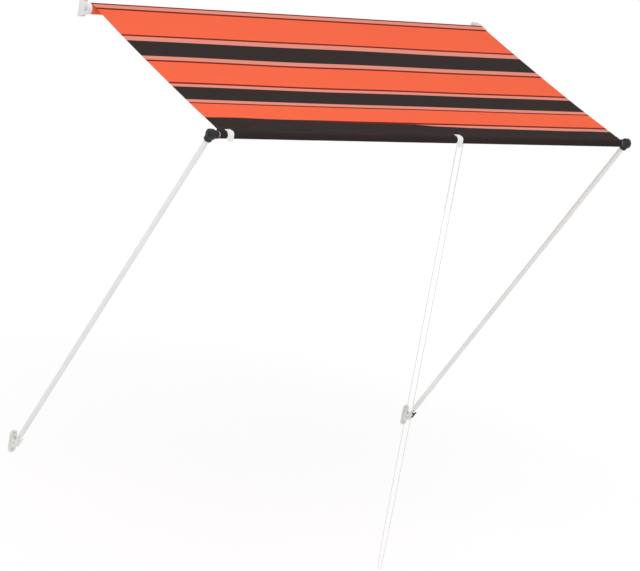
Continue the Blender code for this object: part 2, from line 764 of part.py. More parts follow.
def front_sleeve(axis):
    """The sewn pocket round the bar, with two notches that leave the clips bare."""
    _, end, normal = cloth_line()
    top = end - BAR_AXIS
    along = Vector((0.0, -normal.z, normal.y)).normalized()
    half = FABRIC_THICKNESS / 2
    outer_radius = SLEEVE_MID_RADIUS + half
    inner_radius = SLEEVE_MID_RADIUS - half
    tip = top - along * SLEEVE_TONGUE
    seam = tip + along * SLEEVE_SEAM
    top_angle = math.atan2(normal.z, normal.y)

    pocket_start = seam - normal * half
    lower_start = pocket_start - normal * FABRIC_THICKNESS
    inner_touch = tangent_angle(
        (pocket_start.y, pocket_start.z), (0.0, 0.0), inner_radius, -1,
    )
    outer_touch = tangent_angle((lower_start.y, lower_start.z), (0.0, 0.0), outer_radius, -1)
    while inner_touch < top_angle:
        inner_touch += math.tau
    while outer_touch < top_angle:
        outer_touch += math.tau
    tip_low = tip - normal * (half + FABRIC_THICKNESS)
    tip_high = tip + normal * half
    outer = [
        (tip_low.y, tip_low.z),
        (tip_high.y, tip_high.z),
        *arc((0.0, 0.0), outer_radius, top_angle, outer_touch, 22),
        (lower_start.y, lower_start.z),
    ]
    inner = [
        (pocket_start.y, pocket_start.z),
        *arc((0.0, 0.0), inner_radius, top_angle, inner_touch, 22),
    ]
    mat = cloth("front_sleeve", (0.035, 0.028, 0.028))
    sleeve = as_mesh(outline_plate(
        "front_sleeve", [outer, inner], FABRIC_WIDTH, ACROSS_X, mat, axis,
    ))
    for label, centre, width in NOTCHES:
        low = (centre - width / 2, -2 * outer_radius, -2 * outer_radius)
        high = (centre + width / 2, NOTCH_BACK, 2 * outer_radius)
        notch = box(f"front_sleeve_notch_{label}", low, high, mat, None, axis, CUTTERS)
        combine(sleeve, notch, "DIFFERENCE")


def bar_clips(axis):
    """White snap-on clips round the bar in the sleeve's notches, open towards the wall."""
    start, end = CLIP_MOUTH_ANGLE, math.tau - CLIP_MOUTH_ANGLE
    for label, centre, width in NOTCHES:
        name = f"clip_{label}"
        inner = BAR_RADIUS + GAP
        section = arc((0.0, 0.0), inner + CLIP_WALL, start, end, 26)
        section += arc((0.0, 0.0), inner, end, start, 26)
        outline_plate(
            name, [section], width - 2 * CLIP_SIDE_CLEARANCE,
            Matrix.Translation((centre, 0.0, 0.0)) @ ACROSS_X, white_plastic(name), axis,
        )


def front_bar(axis):
    """The bar's tube and, at each end, its plug with an axle, a washer and the retaining screw."""
    turned(
        "bar_tube", ring_profile(BAR_RADIUS - BAR_WALL, BAR_RADIUS, -BAR_END, BAR_END),
        28, AXIS_ALONG_X, white_steel("bar_tube"), axis,
    )
    for side, sign in SIDES:
        turn = Matrix.Rotation(sign * math.pi / 2, 4, "Y")
        spigot = BAR_RADIUS - BAR_WALL - GAP
        flange_end = GAP + PLUG_FLANGE
        washer_start = flange_end + GAP
        knuckle_start = washer_start + WASHER_THICKNESS + GAP
        axle_end = knuckle_start + KNUCKLE_WIDTH
        screw_bore = AXLE_RADIUS * AXLE_BORE_SHARE
        profile = [
            (AXLE_RADIUS - AXLE_CHAMFER, axle_end),
            (AXLE_RADIUS, axle_end - AXLE_CHAMFER),
            (AXLE_RADIUS, flange_end),
            (PLUG_RADIUS - PLUG_EDGE, flange_end),
            (PLUG_RADIUS, flange_end - PLUG_EDGE),
            (PLUG_RADIUS, GAP),
            (spigot, GAP),
            (spigot, -PLUG_SPIGOT),
            (screw_bore, -PLUG_SPIGOT),
            (screw_bore, axle_end),
        ]
        place = Matrix.Translation((sign * BAR_END, 0.0, 0.0)) @ turn
        name = f"bar_plug_{side}"
        turned(name, profile, 28, place, black_plastic(name), axis)
        name = f"bar_washer_{side}"
        ring = ring_profile(
            AXLE_RADIUS + GAP, WASHER_RADIUS, washer_start, washer_start + WASHER_THICKNESS,
        )
        turned(name, ring, 28, place, white_plastic(name), axis)
        name = f"pivot_screw_{side}"
        seat = axle_end + GAP
        crown = seat + SCREW_HEAD_HEIGHT
        profile = [
            (0.0, crown),
            (SCREW_HEAD_RADIUS * 0.55, crown - 0.3 * MM),
            (SCREW_HEAD_RADIUS * 0.88, crown - 1.4 * MM),
            (SCREW_HEAD_RADIUS, seat + 1.0 * MM),
            (SCREW_HEAD_RADIUS, seat),
            (screw_bore - GAP, seat),
            (screw_bore - GAP, -PLUG_SPIGOT / 2),
            (0.0, -PLUG_SPIGOT / 2),
        ]
        turned(name, profile, 24, place, black_plastic(name), axis)


# Arms


def arm(side, sign, axis):
    """The tube, the rod with its eye at the foot, the catch beside it and the knuckle on top."""
    tube_end = ARM_LENGTH - ARM_TOP_SETBACK
    name = f"arm_tube_{side}"
    turned(
        name, ring_profile(ARM_RADIUS - ARM_WALL, ARM_RADIUS, ARM_NECK_LENGTH, tube_end),
        28, Matrix.Identity(4), white_steel(name), axis,
    )
    arm_rod(side, axis)
    arm_catch(side, axis)
    knuckle(side, sign, axis)


def arm_rod(side, axis):
    """A round rod in the tube's lower end, necked down to a flat eye on the hinge pin."""
    name = f"arm_rod_{side}"
    mat = white_steel(name)
    insert = ARM_RADIUS - ARM_WALL - GAP
    collar = ARM_NECK_LENGTH - GAP
    profile = [
        (0.0, ARM_NECK_LENGTH + ROD_INSERT),
        (insert, ARM_NECK_LENGTH + ROD_INSERT),
        (insert, collar),
        (ROD_RADIUS, collar - 4.0 * MM),
        (ROD_RADIUS, EYE_NECK),
        (0.0, EYE_NECK),
    ]
    rod = as_mesh(turned(name, profile, 24, Matrix.Identity(4), mat, axis))
    waist = ROD_RADIUS - 1.0 * MM
    root, top = EYE_NECK * 0.7, EYE_NECK * 1.4
    eye_outline = arc((0.0, 0.0), EYE_RADIUS, math.pi, math.tau, 14)
    eye_outline += [(waist, root), (waist, top), (-waist, top), (-waist, root)]
    eye = as_mesh(outline_plate(
        f"{name}_eye", [eye_outline], EYE_THICKNESS, ACROSS_X, mat, axis, CUTTERS,
    ))
    combine(rod, eye, "UNION")
    bore = turned(
        f"{name}_bore", rod_profile(FOOT_PIN_RADIUS + GAP, -EYE_THICKNESS, EYE_THICKNESS),
        20, AXIS_ALONG_X, mat, axis, CUTTERS,
    )
    combine(rod, bore, "DIFFERENCE")


def arm_catch(side, axis):
    """A black strip on the outward side of the neck, on a stem from the rod."""
    name = f"arm_catch_{side}"
    mat = black_plastic(name)
    low_end = ARM_NECK_LENGTH - CATCH_LENGTH - 4.0 * MM
    strip = box(
        name,
        (-CATCH_WIDTH / 2, -CATCH_OFFSET - CATCH_THICKNESS, low_end),
        (CATCH_WIDTH / 2, -CATCH_OFFSET, low_end + CATCH_LENGTH),
        mat, None, axis,
    )
    middle = low_end + CATCH_LENGTH / 2
    stem = box(
        f"{name}_stem",
        (-CATCH_WIDTH / 4, -CATCH_OFFSET - CATCH_THICKNESS / 2, middle - 4.0 * MM),
        (CATCH_WIDTH / 4, -ROD_RADIUS - GAP, middle + 4.0 * MM),
        mat, None, axis, CUTTERS,
    )
    combine(strip, stem, "UNION")
    edge_bevel(strip, 0.6 * MM, 1)


def knuckle(side, sign, axis):
    """A thick round head with a socket for the arm's tube and a bore for the bar's axle."""
    name = f"knuckle_{side}"
    mat = black_plastic(name)
    half = KNUCKLE_WIDTH / 2
    edge = KNUCKLE_EDGE
    at = Vector((0.0, 0.0, ARM_LENGTH))
    profile = [(0.0, half)]
    profile += [
        (KNUCKLE_RADIUS - edge + edge * math.sin(a), half - edge + edge * math.cos(a))
        for a in (math.radians(d) for d in (0, 30, 60, 90))
    ]
    profile += [
        (KNUCKLE_RADIUS - edge + edge * math.cos(a), -half + edge - edge * math.sin(a))
        for a in (math.radians(d) for d in (0, 30, 60, 90))
    ]
    profile.append((0.0, -half))
    head = as_mesh(turned(name, profile, 40, x_place(0.0, at), mat, axis))
    neck_top = -(PLUG_RADIUS + 1.0 * MM)
    neck = as_mesh(turned(
        f"{name}_neck",
        [
            (0.0, neck_top), (KNUCKLE_NECK_RADIUS, neck_top),
            (KNUCKLE_NECK_RADIUS, -KNUCKLE_NECK_LENGTH + 2.0 * MM),
            (KNUCKLE_NECK_RADIUS - 2.0 * MM, -KNUCKLE_NECK_LENGTH), (0.0, -KNUCKLE_NECK_LENGTH),
        ],
        28, Matrix.Translation(at), mat, axis, CUTTERS,
    ))
    combine(head, neck, "UNION")
    socket_low = -2 * KNUCKLE_NECK_LENGTH
    socket = turned(
        f"{name}_socket",
        rod_profile(ARM_RADIUS + GAP, socket_low, -ARM_TOP_SETBACK + GAP),
        28, Matrix.Translation(at), mat, axis, CUTTERS,
    )
    combine(head, socket, "DIFFERENCE")
    bore = turned(
        f"{name}_bore", rod_profile(AXLE_RADIUS + GAP, -KNUCKLE_WIDTH, KNUCKLE_WIDTH),
        28, x_place(0.0, at), mat, axis, CUTTERS,
    )
    combine(head, bore, "DIFFERENCE")


def main():
    """Build the awning."""
    global PARTS, CUTTERS
    clear_scene()
    PARTS = new_collection("fabric_awning")
    CUTTERS = new_collection("cutters")

    for side, sign in SIDES:
        wall_bracket(side, sign)
        wall_foot(side, sign)
    idle_pin()

    roller_axis = axis_empty("roller_axis", ROLLER_AXIS)
    roller(roller_axis)
    chain_wheel(roller_axis)
    chain_housing()
    bead_chain()

    fabric_sheet()
    bar_axis = axis_empty("front_bar_axis", BAR_AXIS)
    front_sleeve(bar_axis)
    bar_clips(bar_axis)
    front_bar(bar_axis)

    for side, sign in SIDES:
        pivot = Vector((sign * ARM_X, FOOT_PIVOT_Y, FOOT_PIVOT_Z))
        arm(side, sign, axis_empty(f"arm_{side}_pivot", pivot, ARM_LEAN))


main()
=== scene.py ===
"""Looks of a wall-hung drop-arm awning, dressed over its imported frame."""

import logging
import math
from bisect import bisect_right
from collections.abc import Callable, Iterable
from dataclasses import dataclass
from enum import Enum
from itertools import accumulate, pairwise

import bmesh
import bpy
from bmesh.types import BMesh, BMVert
from bpy.types import Material, Node, NodeSocket, NodeTree, Object
from mathutils import Matrix, Vector, noise


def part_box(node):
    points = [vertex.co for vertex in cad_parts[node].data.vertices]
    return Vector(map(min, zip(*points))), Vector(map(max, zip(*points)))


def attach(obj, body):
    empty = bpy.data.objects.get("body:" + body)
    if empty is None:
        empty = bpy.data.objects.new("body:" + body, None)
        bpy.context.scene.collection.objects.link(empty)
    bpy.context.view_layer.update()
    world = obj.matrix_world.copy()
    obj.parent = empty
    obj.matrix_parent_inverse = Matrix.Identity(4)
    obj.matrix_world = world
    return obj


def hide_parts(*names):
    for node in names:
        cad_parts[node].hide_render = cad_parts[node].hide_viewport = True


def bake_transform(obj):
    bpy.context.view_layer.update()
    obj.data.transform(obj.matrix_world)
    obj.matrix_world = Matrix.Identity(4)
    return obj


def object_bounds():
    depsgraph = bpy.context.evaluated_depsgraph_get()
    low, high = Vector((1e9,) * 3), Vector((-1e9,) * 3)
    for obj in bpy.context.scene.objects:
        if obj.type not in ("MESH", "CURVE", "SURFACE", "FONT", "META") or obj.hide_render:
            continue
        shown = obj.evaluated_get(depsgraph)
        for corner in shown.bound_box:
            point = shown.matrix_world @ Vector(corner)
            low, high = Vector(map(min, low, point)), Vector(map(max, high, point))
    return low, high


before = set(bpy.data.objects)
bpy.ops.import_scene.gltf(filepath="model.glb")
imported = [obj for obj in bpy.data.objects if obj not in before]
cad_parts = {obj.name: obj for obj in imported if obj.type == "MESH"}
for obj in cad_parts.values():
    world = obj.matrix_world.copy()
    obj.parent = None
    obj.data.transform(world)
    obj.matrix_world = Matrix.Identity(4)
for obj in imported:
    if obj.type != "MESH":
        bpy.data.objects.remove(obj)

LOG = logging.getLogger("awning")
CAD_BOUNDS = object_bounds()
MERGE = 0.00001
SHARP_ANGLE = 40.0
EDGE_RADIUS = 0.0003
Point = tuple[float, float]
Spot = tuple[float, float, float]
Colour = tuple[float, float, float]
Stripe = tuple[float, Colour]
Inputs = dict[str | int, object]

ORANGE: Colour = (0.93, 0.136, 0.056)
PINK: Colour = (0.80, 0.275, 0.205)
DEEP_RED: Colour = (0.20, 0.008, 0.003)
BROWN_BLACK: Colour = (0.026, 0.017, 0.016)
WHITE: Colour = (1.0, 1.0, 1.0)


class Body(Enum):
    """The moving bodies of the awning."""

    FRAME = "frame"
    ROLLER = "roller"
    ARM_LEFT = "arm_left"
    ARM_RIGHT = "arm_right"
    FRONT_BAR = "front_bar"


class Side(Enum):
    """The two ends of the awning, seen from the front."""

    LEFT = "left"
    RIGHT = "right"


# Shader nodes


class Ramp(Enum):
    """How a colour ramp goes from stop to stop."""

    STEPPED = "CONSTANT"
    EVEN = "LINEAR"


@dataclass(frozen=True)
class Wiring:
    """Adds, sets and joins the nodes of one tree."""

    tree: NodeTree

    def add(self, kind: str, inputs: Inputs | None = None, **properties: object) -> Node:
        """Add a node.

        Args:
            kind: Its type, without the leading ShaderNode.
            inputs: What feeds its inputs.
            properties: Its own properties, which are set first.

        Returns:
            The node.
        """
        node = self.tree.nodes.new(f"ShaderNode{kind}")
        for label, value in properties.items():
            setattr(node, label, value)
        self.feed(node, inputs or {})
        return node

    def feed(self, node: Node, inputs: Inputs) -> None:
        """Set or link a node's inputs.

        Args:
            node: The node.
            inputs: A value or a socket for each input, by its name or place.
        """
        for label, value in inputs.items():
            if isinstance(value, NodeSocket):
                self.tree.links.new(value, node.inputs[label])
            else:
                node.inputs[label].default_value = value

    def math(self, operation: str, *values: object) -> NodeSocket:
        """Work out one number from numbers and sockets."""
        return self.add("Math", dict(enumerate(values)), operation=operation).outputs[0]

    def mix(self, factor: NodeSocket, low: object, high: object) -> NodeSocket:
        """Mix two colours, each a socket or a colour with its alpha."""
        mixed = self.add("Mix", {"Factor": factor, "A": low, "B": high}, data_type="RGBA")
        return mixed.outputs["Result"]

    def ramp(self, factor: NodeSocket, stops: list[Stripe], kind: Ramp) -> NodeSocket:
        """Pick a colour by a number.

        Args:
            factor: The number, from 0 to 1.
            stops: Where each colour stands, in order.
            kind: How the ramp goes from stop to stop.

        Returns:
            The colour.
        """
        node = self.add("ValToRGB", {"Fac": factor})
        node.color_ramp.interpolation = kind.value
        marks = node.color_ramp.elements
        marks.remove(marks[1])
        for index, (place, colour) in enumerate(stops):
            mark = marks.new(place) if index else marks[0]
            mark.position = place
            mark.color = (*colour, 1.0)
        return node.outputs["Color"]


def new_group(
    name: str, inputs: dict[str, float], outputs: tuple[str, ...],
) -> tuple[Wiring, Node, Node]:
    """Start a shader node group that reads a vector.

    Args:
        name: The group's name.
        inputs: Its number inputs with their defaults.
        outputs: The names of its numbers.

    Returns:
        Its wiring, its input node and its output node.
    """
    group = bpy.data.node_groups.new(name, "ShaderNodeTree")
    new_socket = group.interface.new_socket
    new_socket("Vector", in_out="INPUT", socket_type="NodeSocketVector")
    for label, value in inputs.items():
        new_socket(label, in_out="INPUT", socket_type="NodeSocketFloat").default_value = value
    for label in outputs:
        new_socket(label, in_out="OUTPUT", socket_type="NodeSocketFloat")
    return Wiring(group), group.nodes.new("NodeGroupInput"), group.nodes.new("NodeGroupOutput")


def new_material(name: str, colour: Colour) -> tuple[Material, Wiring, Node]:
    """Start a material.

    Args:
        name: Its name.
        colour: Its colour in a plain view.

    Returns:
        The material, its wiring and its shader.
    """
    material = bpy.data.materials.new(name)
    material.use_nodes = True
    material.diffuse_color = (*colour, 1.0)
    return material, Wiring(material.node_tree), material.node_tree.nodes["Principled BSDF"]


@dataclass(frozen=True)
class Groups:
    """The node groups that several finishes share."""

    grain: NodeTree
    weave: NodeTree


def grain_group() -> NodeTree:
    """Make the fine bumpiness of powder paint and moulded plastic.

    Returns:
        A group that gives a height and a smudge.
    """
    scales = {"Scale": 900.0, "Smudge Scale": 9.0}
    wiring, source, sink = new_group("surface grain", scales, ("Height", "Smudge"))
    read = source.outputs
    fine = wiring.add("TexNoise", {"Vector": read["Vector"], "Scale": read["Scale"], "Detail": 2.0})
    broad = wiring.add("TexNoise", {
        "Vector": read["Vector"], "Scale": read["Smudge Scale"], "Detail": 5.0, "Roughness": 0.6,
    })
    wiring.feed(sink, {"Height": fine.outputs["Fac"], "Smudge": broad.outputs["Fac"]})
    return wiring.tree


def weave_group() -> NodeTree:
    """Make a plain weave of crossing threads on a vector in metres.

    Returns:
        A group that gives the threads' height and their shade.
    """
    wiring, source, sink = new_group("plain weave", {"Threads": 1600.0}, ("Height", "Shade"))
    read = source.outputs
    axes = wiring.add("SeparateXYZ", {0: read["Vector"]}).outputs
    waves = []
    for axis in ("X", "Y"):
        angle = wiring.math("MULTIPLY", axes[axis], read["Threads"])
        waves.append(wiring.math("SINE", wiring.math("MULTIPLY", angle, math.pi)))
    height = wiring.math("MULTIPLY_ADD", wiring.math("MULTIPLY", *waves), 0.5, 0.5)
    stretch = wiring.add("Mapping", {"Vector": read["Vector"], "Scale": (6.0, 420.0, 1.0)})
    slub = wiring.add("TexNoise", {"Vector": stretch.outputs[0], "Scale": 1.0, "Detail": 3.0})
    wiring.feed(sink, {"Height": height, "Shade": slub.outputs["Fac"]})
    return wiring.tree


# Finishes


@dataclass(frozen=True)
class HardFinish:
    """Paint, plastic or plated metal with a fine grain and faint smudges."""

    name: str
    colour: Colour
    roughness: float
    metallic: float = 0.0
    coat: float = 0.0
    grain_scale: float = 900.0
    grain_height: float = 0.00002
    smudge: float = 0.05
    smudge_range: Point = (0.3, 0.7)
    swing: float = 0.12
    specular: float = 0.5

    def build(self, groups: Groups) -> Material:
        """Make the material.

        Args:
            groups: The shared node groups.

        Returns:
            The material.
        """
        material, wiring, shader = new_material(self.name, self.colour)
        place = wiring.add("TexCoord").outputs["Object"]
        inputs = {"Vector": place, "Scale": self.grain_scale}
        grain = wiring.add("Group", inputs, node_tree=groups.grain).outputs
        low, high = self.smudge_range
        shade = wiring.add("MapRange", {"Value": grain["Smudge"], "From Min": low, "From Max": high})
        dim, bright = ((*(min(1.0, c * share) for c in self.colour), 1.0)
                       for share in (1 - self.smudge, 1 + self.smudge))
        least = self.roughness - self.swing / 2
        bump = {"Height": grain["Height"], "Distance": self.grain_height, "Strength": 1.0}
        wiring.feed(shader, {
            "Metallic": self.metallic,
            "Coat Weight": self.coat,
            "Specular IOR Level": self.specular,
            "Base Color": wiring.mix(shade.outputs[0], dim, bright),
            "Roughness": wiring.math("MULTIPLY_ADD", grain["Smudge"], self.swing, least),
            "Normal": wiring.add("Bump", bump).outputs[0],
        })
        return material


class Finish(Enum):
    """The finishes of one colour."""

    WHITE_PAINT = HardFinish("white paint", (0.87, 0.875, 0.855), 0.40, coat=0.1)
    BRACKET_PAINT = HardFinish("bracket paint", (0.80, 0.805, 0.77), 0.42, coat=0.1)
    WHITE_PLASTIC = HardFinish("white plastic", (0.84, 0.84, 0.82), 0.38, grain_height=0.00001)
    BEAD_PLASTIC = HardFinish("bead plastic", (0.82, 0.82, 0.82), 0.25, grain_height=0.0)
    BLACK_PLASTIC = HardFinish(
        "black plastic", (0.014, 0.014, 0.014), 0.42, smudge=0.2, specular=0.3)
    DARK_CLOTH = HardFinish(
        "dark cloth", BROWN_BLACK, 0.88, grain_scale=1500.0, grain_height=0.00008)
    THREAD = HardFinish("dark thread", (0.06, 0.05, 0.05), 0.7, grain_scale=4000.0)
    ZINC = HardFinish("zinc", (0.62, 0.63, 0.62), 0.32, metallic=1.0, grain_height=0.000004)
    GALVANISED = HardFinish("galvanised", (0.58, 0.60, 0.62), 0.38, metallic=1.0, smudge=0.12)


Coats = dict[Finish, Material]


@dataclass(frozen=True)
class ClothFinish:
    """Striped woven polyester. Its distances run along the cloth from where it leaves the roll."""

    low: float
    length: float
    width: float
    name: str = "striped cloth"
    blocks: tuple[Stripe, ...] = (
        (0.294, BROWN_BLACK), (0.420, PINK), (0.668, BROWN_BLACK), (0.770, PINK),
    )
    lines: tuple[Stripe, ...] = (
        (-0.004, PINK), (0.038, ORANGE), (0.254, PINK), (0.458, ORANGE),
        (0.636, PINK), (0.797, ORANGE), (0.919, PINK),
    )
    half_line: float = 0.0065
    hem: tuple[Point, ...] = (
        (0.0, 0.915), (0.20, 0.919), (0.35, 0.928), (0.49, 0.930), (0.54, 0.941),
        (0.62, 0.948), (0.85, 0.952), (1.0, 0.951),
    )
    slub: Point = (0.10, 0.95)
    smudge: Point = (0.08, 0.96)
    weave_height: float = 0.00012

    def share(self, distance: float) -> float:
        """How far down the UV map a distance along the cloth lies."""
        return (distance - self.low) / self.length

    def stops(self) -> list[Stripe]:
        """Set the blocks and the dark lines between them in order.

        Returns:
            Where each colour starts on the UV map, with the colour.
        """
        stripes = [(self.low, ORANGE), *self.blocks]
        for middle, colour in self.lines:
            stripes += [(middle - self.half_line, DEEP_RED), (middle + self.half_line, colour)]
        return [(self.share(start), colour) for start, colour in sorted(stripes)]

    def hem_edge(self, wiring: Wiring, across: NodeSocket) -> NodeSocket:
        """Find how far down the hem starts at each place across the cloth.

        Args:
            wiring: The material's nodes.
            across: The place across the cloth, from 0 to 1.

        Returns:
            The hem's edge on the UV map.
        """
        distances = [distance for _, distance in self.hem]
        least, most = min(distances), max(distances)
        levels = [(place, ((distance - least) / (most - least),) * 3) for place, distance in self.hem]
        return wiring.add("MapRange", {
            "Value": wiring.ramp(across, levels, Ramp.EVEN),
            "To Min": self.share(least), "To Max": self.share(most),
        }).outputs[0]

    def build(self, groups: Groups) -> Material:
        """Make the material.

        Args:
            groups: The shared node groups.

        Returns:
            The material.
        """
        material, wiring, shader = new_material(self.name, ORANGE)
        place = wiring.add("UVMap", uv_map="UVMap").outputs[0]
        size = {0: place, 1: (self.width, self.length, 1.0)}
        metres = wiring.add("VectorMath", size, operation="MULTIPLY").outputs[0]
        axes = wiring.add("SeparateXYZ", {0: place}).outputs
        stripes = wiring.ramp(axes["Y"], self.stops(), Ramp.STEPPED)
        hem = wiring.math("GREATER_THAN", axes["Y"], self.hem_edge(wiring, axes["X"]))
        colour = wiring.mix(hem, stripes, (*BROWN_BLACK, 1.0))
        weave = wiring.add("Group", {"Vector": metres}, node_tree=groups.weave).outputs
        inputs = {"Vector": metres, "Smudge Scale": 3.0}
        grain = wiring.add("Group", inputs, node_tree=groups.grain).outputs
        slub = wiring.math("MULTIPLY_ADD", weave["Shade"], *self.slub)
        broad = wiring.math("MULTIPLY_ADD", grain["Smudge"], *self.smudge)
        tint = {0: colour, "Scale": wiring.math("MULTIPLY", slub, broad)}
        bump = {"Height": weave["Height"], "Distance": self.weave_height, "Strength": 0.6}
        wiring.feed(shader, {
            "Roughness": 0.86,
            "Specular IOR Level": 0.12,
            "Base Color": wiring.add("VectorMath", tint, operation="SCALE").outputs[0],
            "Normal": wiring.add("Bump", bump).outputs[0],
        })
        return material


# Mesh helpers


def shares(steps: int, first: int = 0) -> list[float]:
    """The shares of a whole at even steps, up to and with 1."""
    return [i / steps for i in range(first, steps + 1)]


def bell(offset: float, width: float) -> float:
    """A smooth bump of height 1 round an offset of 0."""
    return math.exp(-(offset / width) ** 2)


def snap(values: list[float], cuts: Iterable[float]) -> list[float]:
    """Move the nearest of some values onto each cut.

    Args:
        values: The values, which change.
        cuts: Where a value has to be.

    Returns:
        The values.
    """
    for cut in cuts:
        nearest = min(range(len(values)), key=lambda i: abs(values[i] - cut))
        values[nearest] = cut
    return values


def middle_of(node: str) -> Vector:
    """The middle of a CAD node's box."""
    low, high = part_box(node)
    return (low + high) / 2


def round_axis(axis: Vector, radius: float, angle: float) -> Vector:
    """A point at an angle round an axis along X."""
    return axis + Vector((0.0, math.cos(angle), math.sin(angle))) * radius


def run_length(line: list[Vector]) -> float:
    """How long a line of points is."""
    return sum((end - start).length for start, end in pairwise(line))


def stand(spot: Vector, axis: Vector, track: str = "Z", side: str = "X") -> Matrix:
    """Place a shape at a spot, with one of its own axes turned along another."""
    return Matrix.Translation(spot) @ axis.to_track_quat(track, side).to_matrix().to_4x4()


def to_object(bm: BMesh, name: str, material: Material, smooth: float = SHARP_ANGLE) -> Object:
    """Turn a bmesh into a finished object at the origin.

    Args:
        bm: The mesh, which is freed.
        name: The piece's name.
        material: Its finish.
        smooth: The angle in degrees above which an edge stays sharp.

    Returns:
        The object, linked to the scene.
    """
    mesh = bpy.data.meshes.new(name)
    bm.to_mesh(mesh)
    bm.free()
    mesh.shade_smooth()
    mesh.set_sharp_from_angle(angle=math.radians(smooth))
    mesh.materials.append(material)
    piece = bpy.data.objects.new(name, mesh)
    bpy.context.scene.collection.objects.link(piece)
    return piece


def seat(piece: Object, body: Body, node: str) -> Object:
    """Let a piece ride on a body and stand for a CAD node.

    Args:
        piece: The piece.
        body: The body that carries it.
        node: The CAD node that it replaces.

    Returns:
        The piece.
    """
    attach(piece, body.value)
    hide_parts(node)
    return piece


def thicken(bm: BMesh, thickness: float) -> None:
    """Give a flat mesh a thickness, half of it on either side of its plane.

    Args:
        bm: The mesh.
        thickness: The thickness.
    """
    bmesh.ops.solidify(bm, geom=bm.faces[:], thickness=thickness)
    low_side = min(vert.co.z for vert in bm.verts)
    bmesh.ops.translate(bm, vec=(0, 0, -low_side - thickness / 2), verts=bm.verts)


def unwrap(bm: BMesh, on_map: Callable[[Vector], Point]) -> None:
    """Give a flat mesh a UV map.

    Args:
        bm: The mesh.
        on_map: Turns a vertex's place into its place on the map.
    """
    layer = bm.loops.layers.uv.new("UVMap")
    for face in bm.faces:
        for loop in face.loops:
            loop[layer].uv = on_map(loop.vert.co)


def repeat(shapes: tuple[tuple[BMesh, list[Matrix]], ...]) -> BMesh:
    """Set many copies of a few small shapes into one mesh.

    Args:
        shapes: Each shape, which is freed, with the places of its copies.

    Returns:
        The mesh with every copy.
    """
    whole = bmesh.new()
    for shape, places in shapes:
        pattern = bpy.data.meshes.new("pattern")
        shape.to_mesh(pattern)
        shape.free()
        for place in places:
            copy = pattern.copy()
            copy.transform(place)
            whole.from_mesh(copy)
            bpy.data.meshes.remove(copy)
        bpy.data.meshes.remove(pattern)
    return whole


def spin_profile(bm: BMesh, profile: list[Point], steps: int, place: Matrix) -> None:
    """Spin a section of (radius, height) about local Z and put it in place.

    Args:
        bm: The mesh to add to.
        profile: The section, closed unless it starts and ends on the axis.
        steps: The number of steps round.
        place: Where the turned shape goes.
    """
    before = set(bm.verts)
    verts = [bm.verts.new((radius, 0.0, height)) for radius, height in profile]
    edges = [bm.edges.new(pair) for pair in pairwise(verts)]
    if profile[0][0] > MERGE:
        edges.append(bm.edges.new((verts[-1], verts[0])))
    bmesh.ops.spin(
        bm, geom=verts + edges, cent=(0, 0, 0), axis=(0, 0, 1), angle=math.tau,
        steps=steps, use_merge=True,
    )
    bmesh.ops.remove_doubles(bm, verts=[v for v in bm.verts if v not in before], dist=MERGE)
    fresh = [v for v in bm.verts if v not in before]
    bmesh.ops.transform(bm, matrix=place, verts=fresh)
    faces = list({face for vert in fresh for face in vert.link_faces})
    bmesh.ops.recalc_face_normals(bm, faces=faces)


def round_off(node: str, material: Material) -> None:
    """Dress a CAD node: its finish, rounded edges and smooth round faces.

    Args:
        node: The CAD node's name.
        material: Its finish.
    """
    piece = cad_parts[node]
    piece.data.materials.clear()
    piece.data.materials.append(material)
    piece.data.shade_smooth()
    piece.modifiers.new("Weld", "WELD").merge_threshold = MERGE
    bevel = piece.modifiers.new("Edges", "BEVEL")
    bevel.width = EDGE_RADIUS
    bevel.segments = 2
    bevel.limit_method = "ANGLE"
    bevel.angle_limit = math.radians(SHARP_ANGLE)
    bevel.harden_normals = True
    bevel.use_clamp_overlap = True


# The cloth


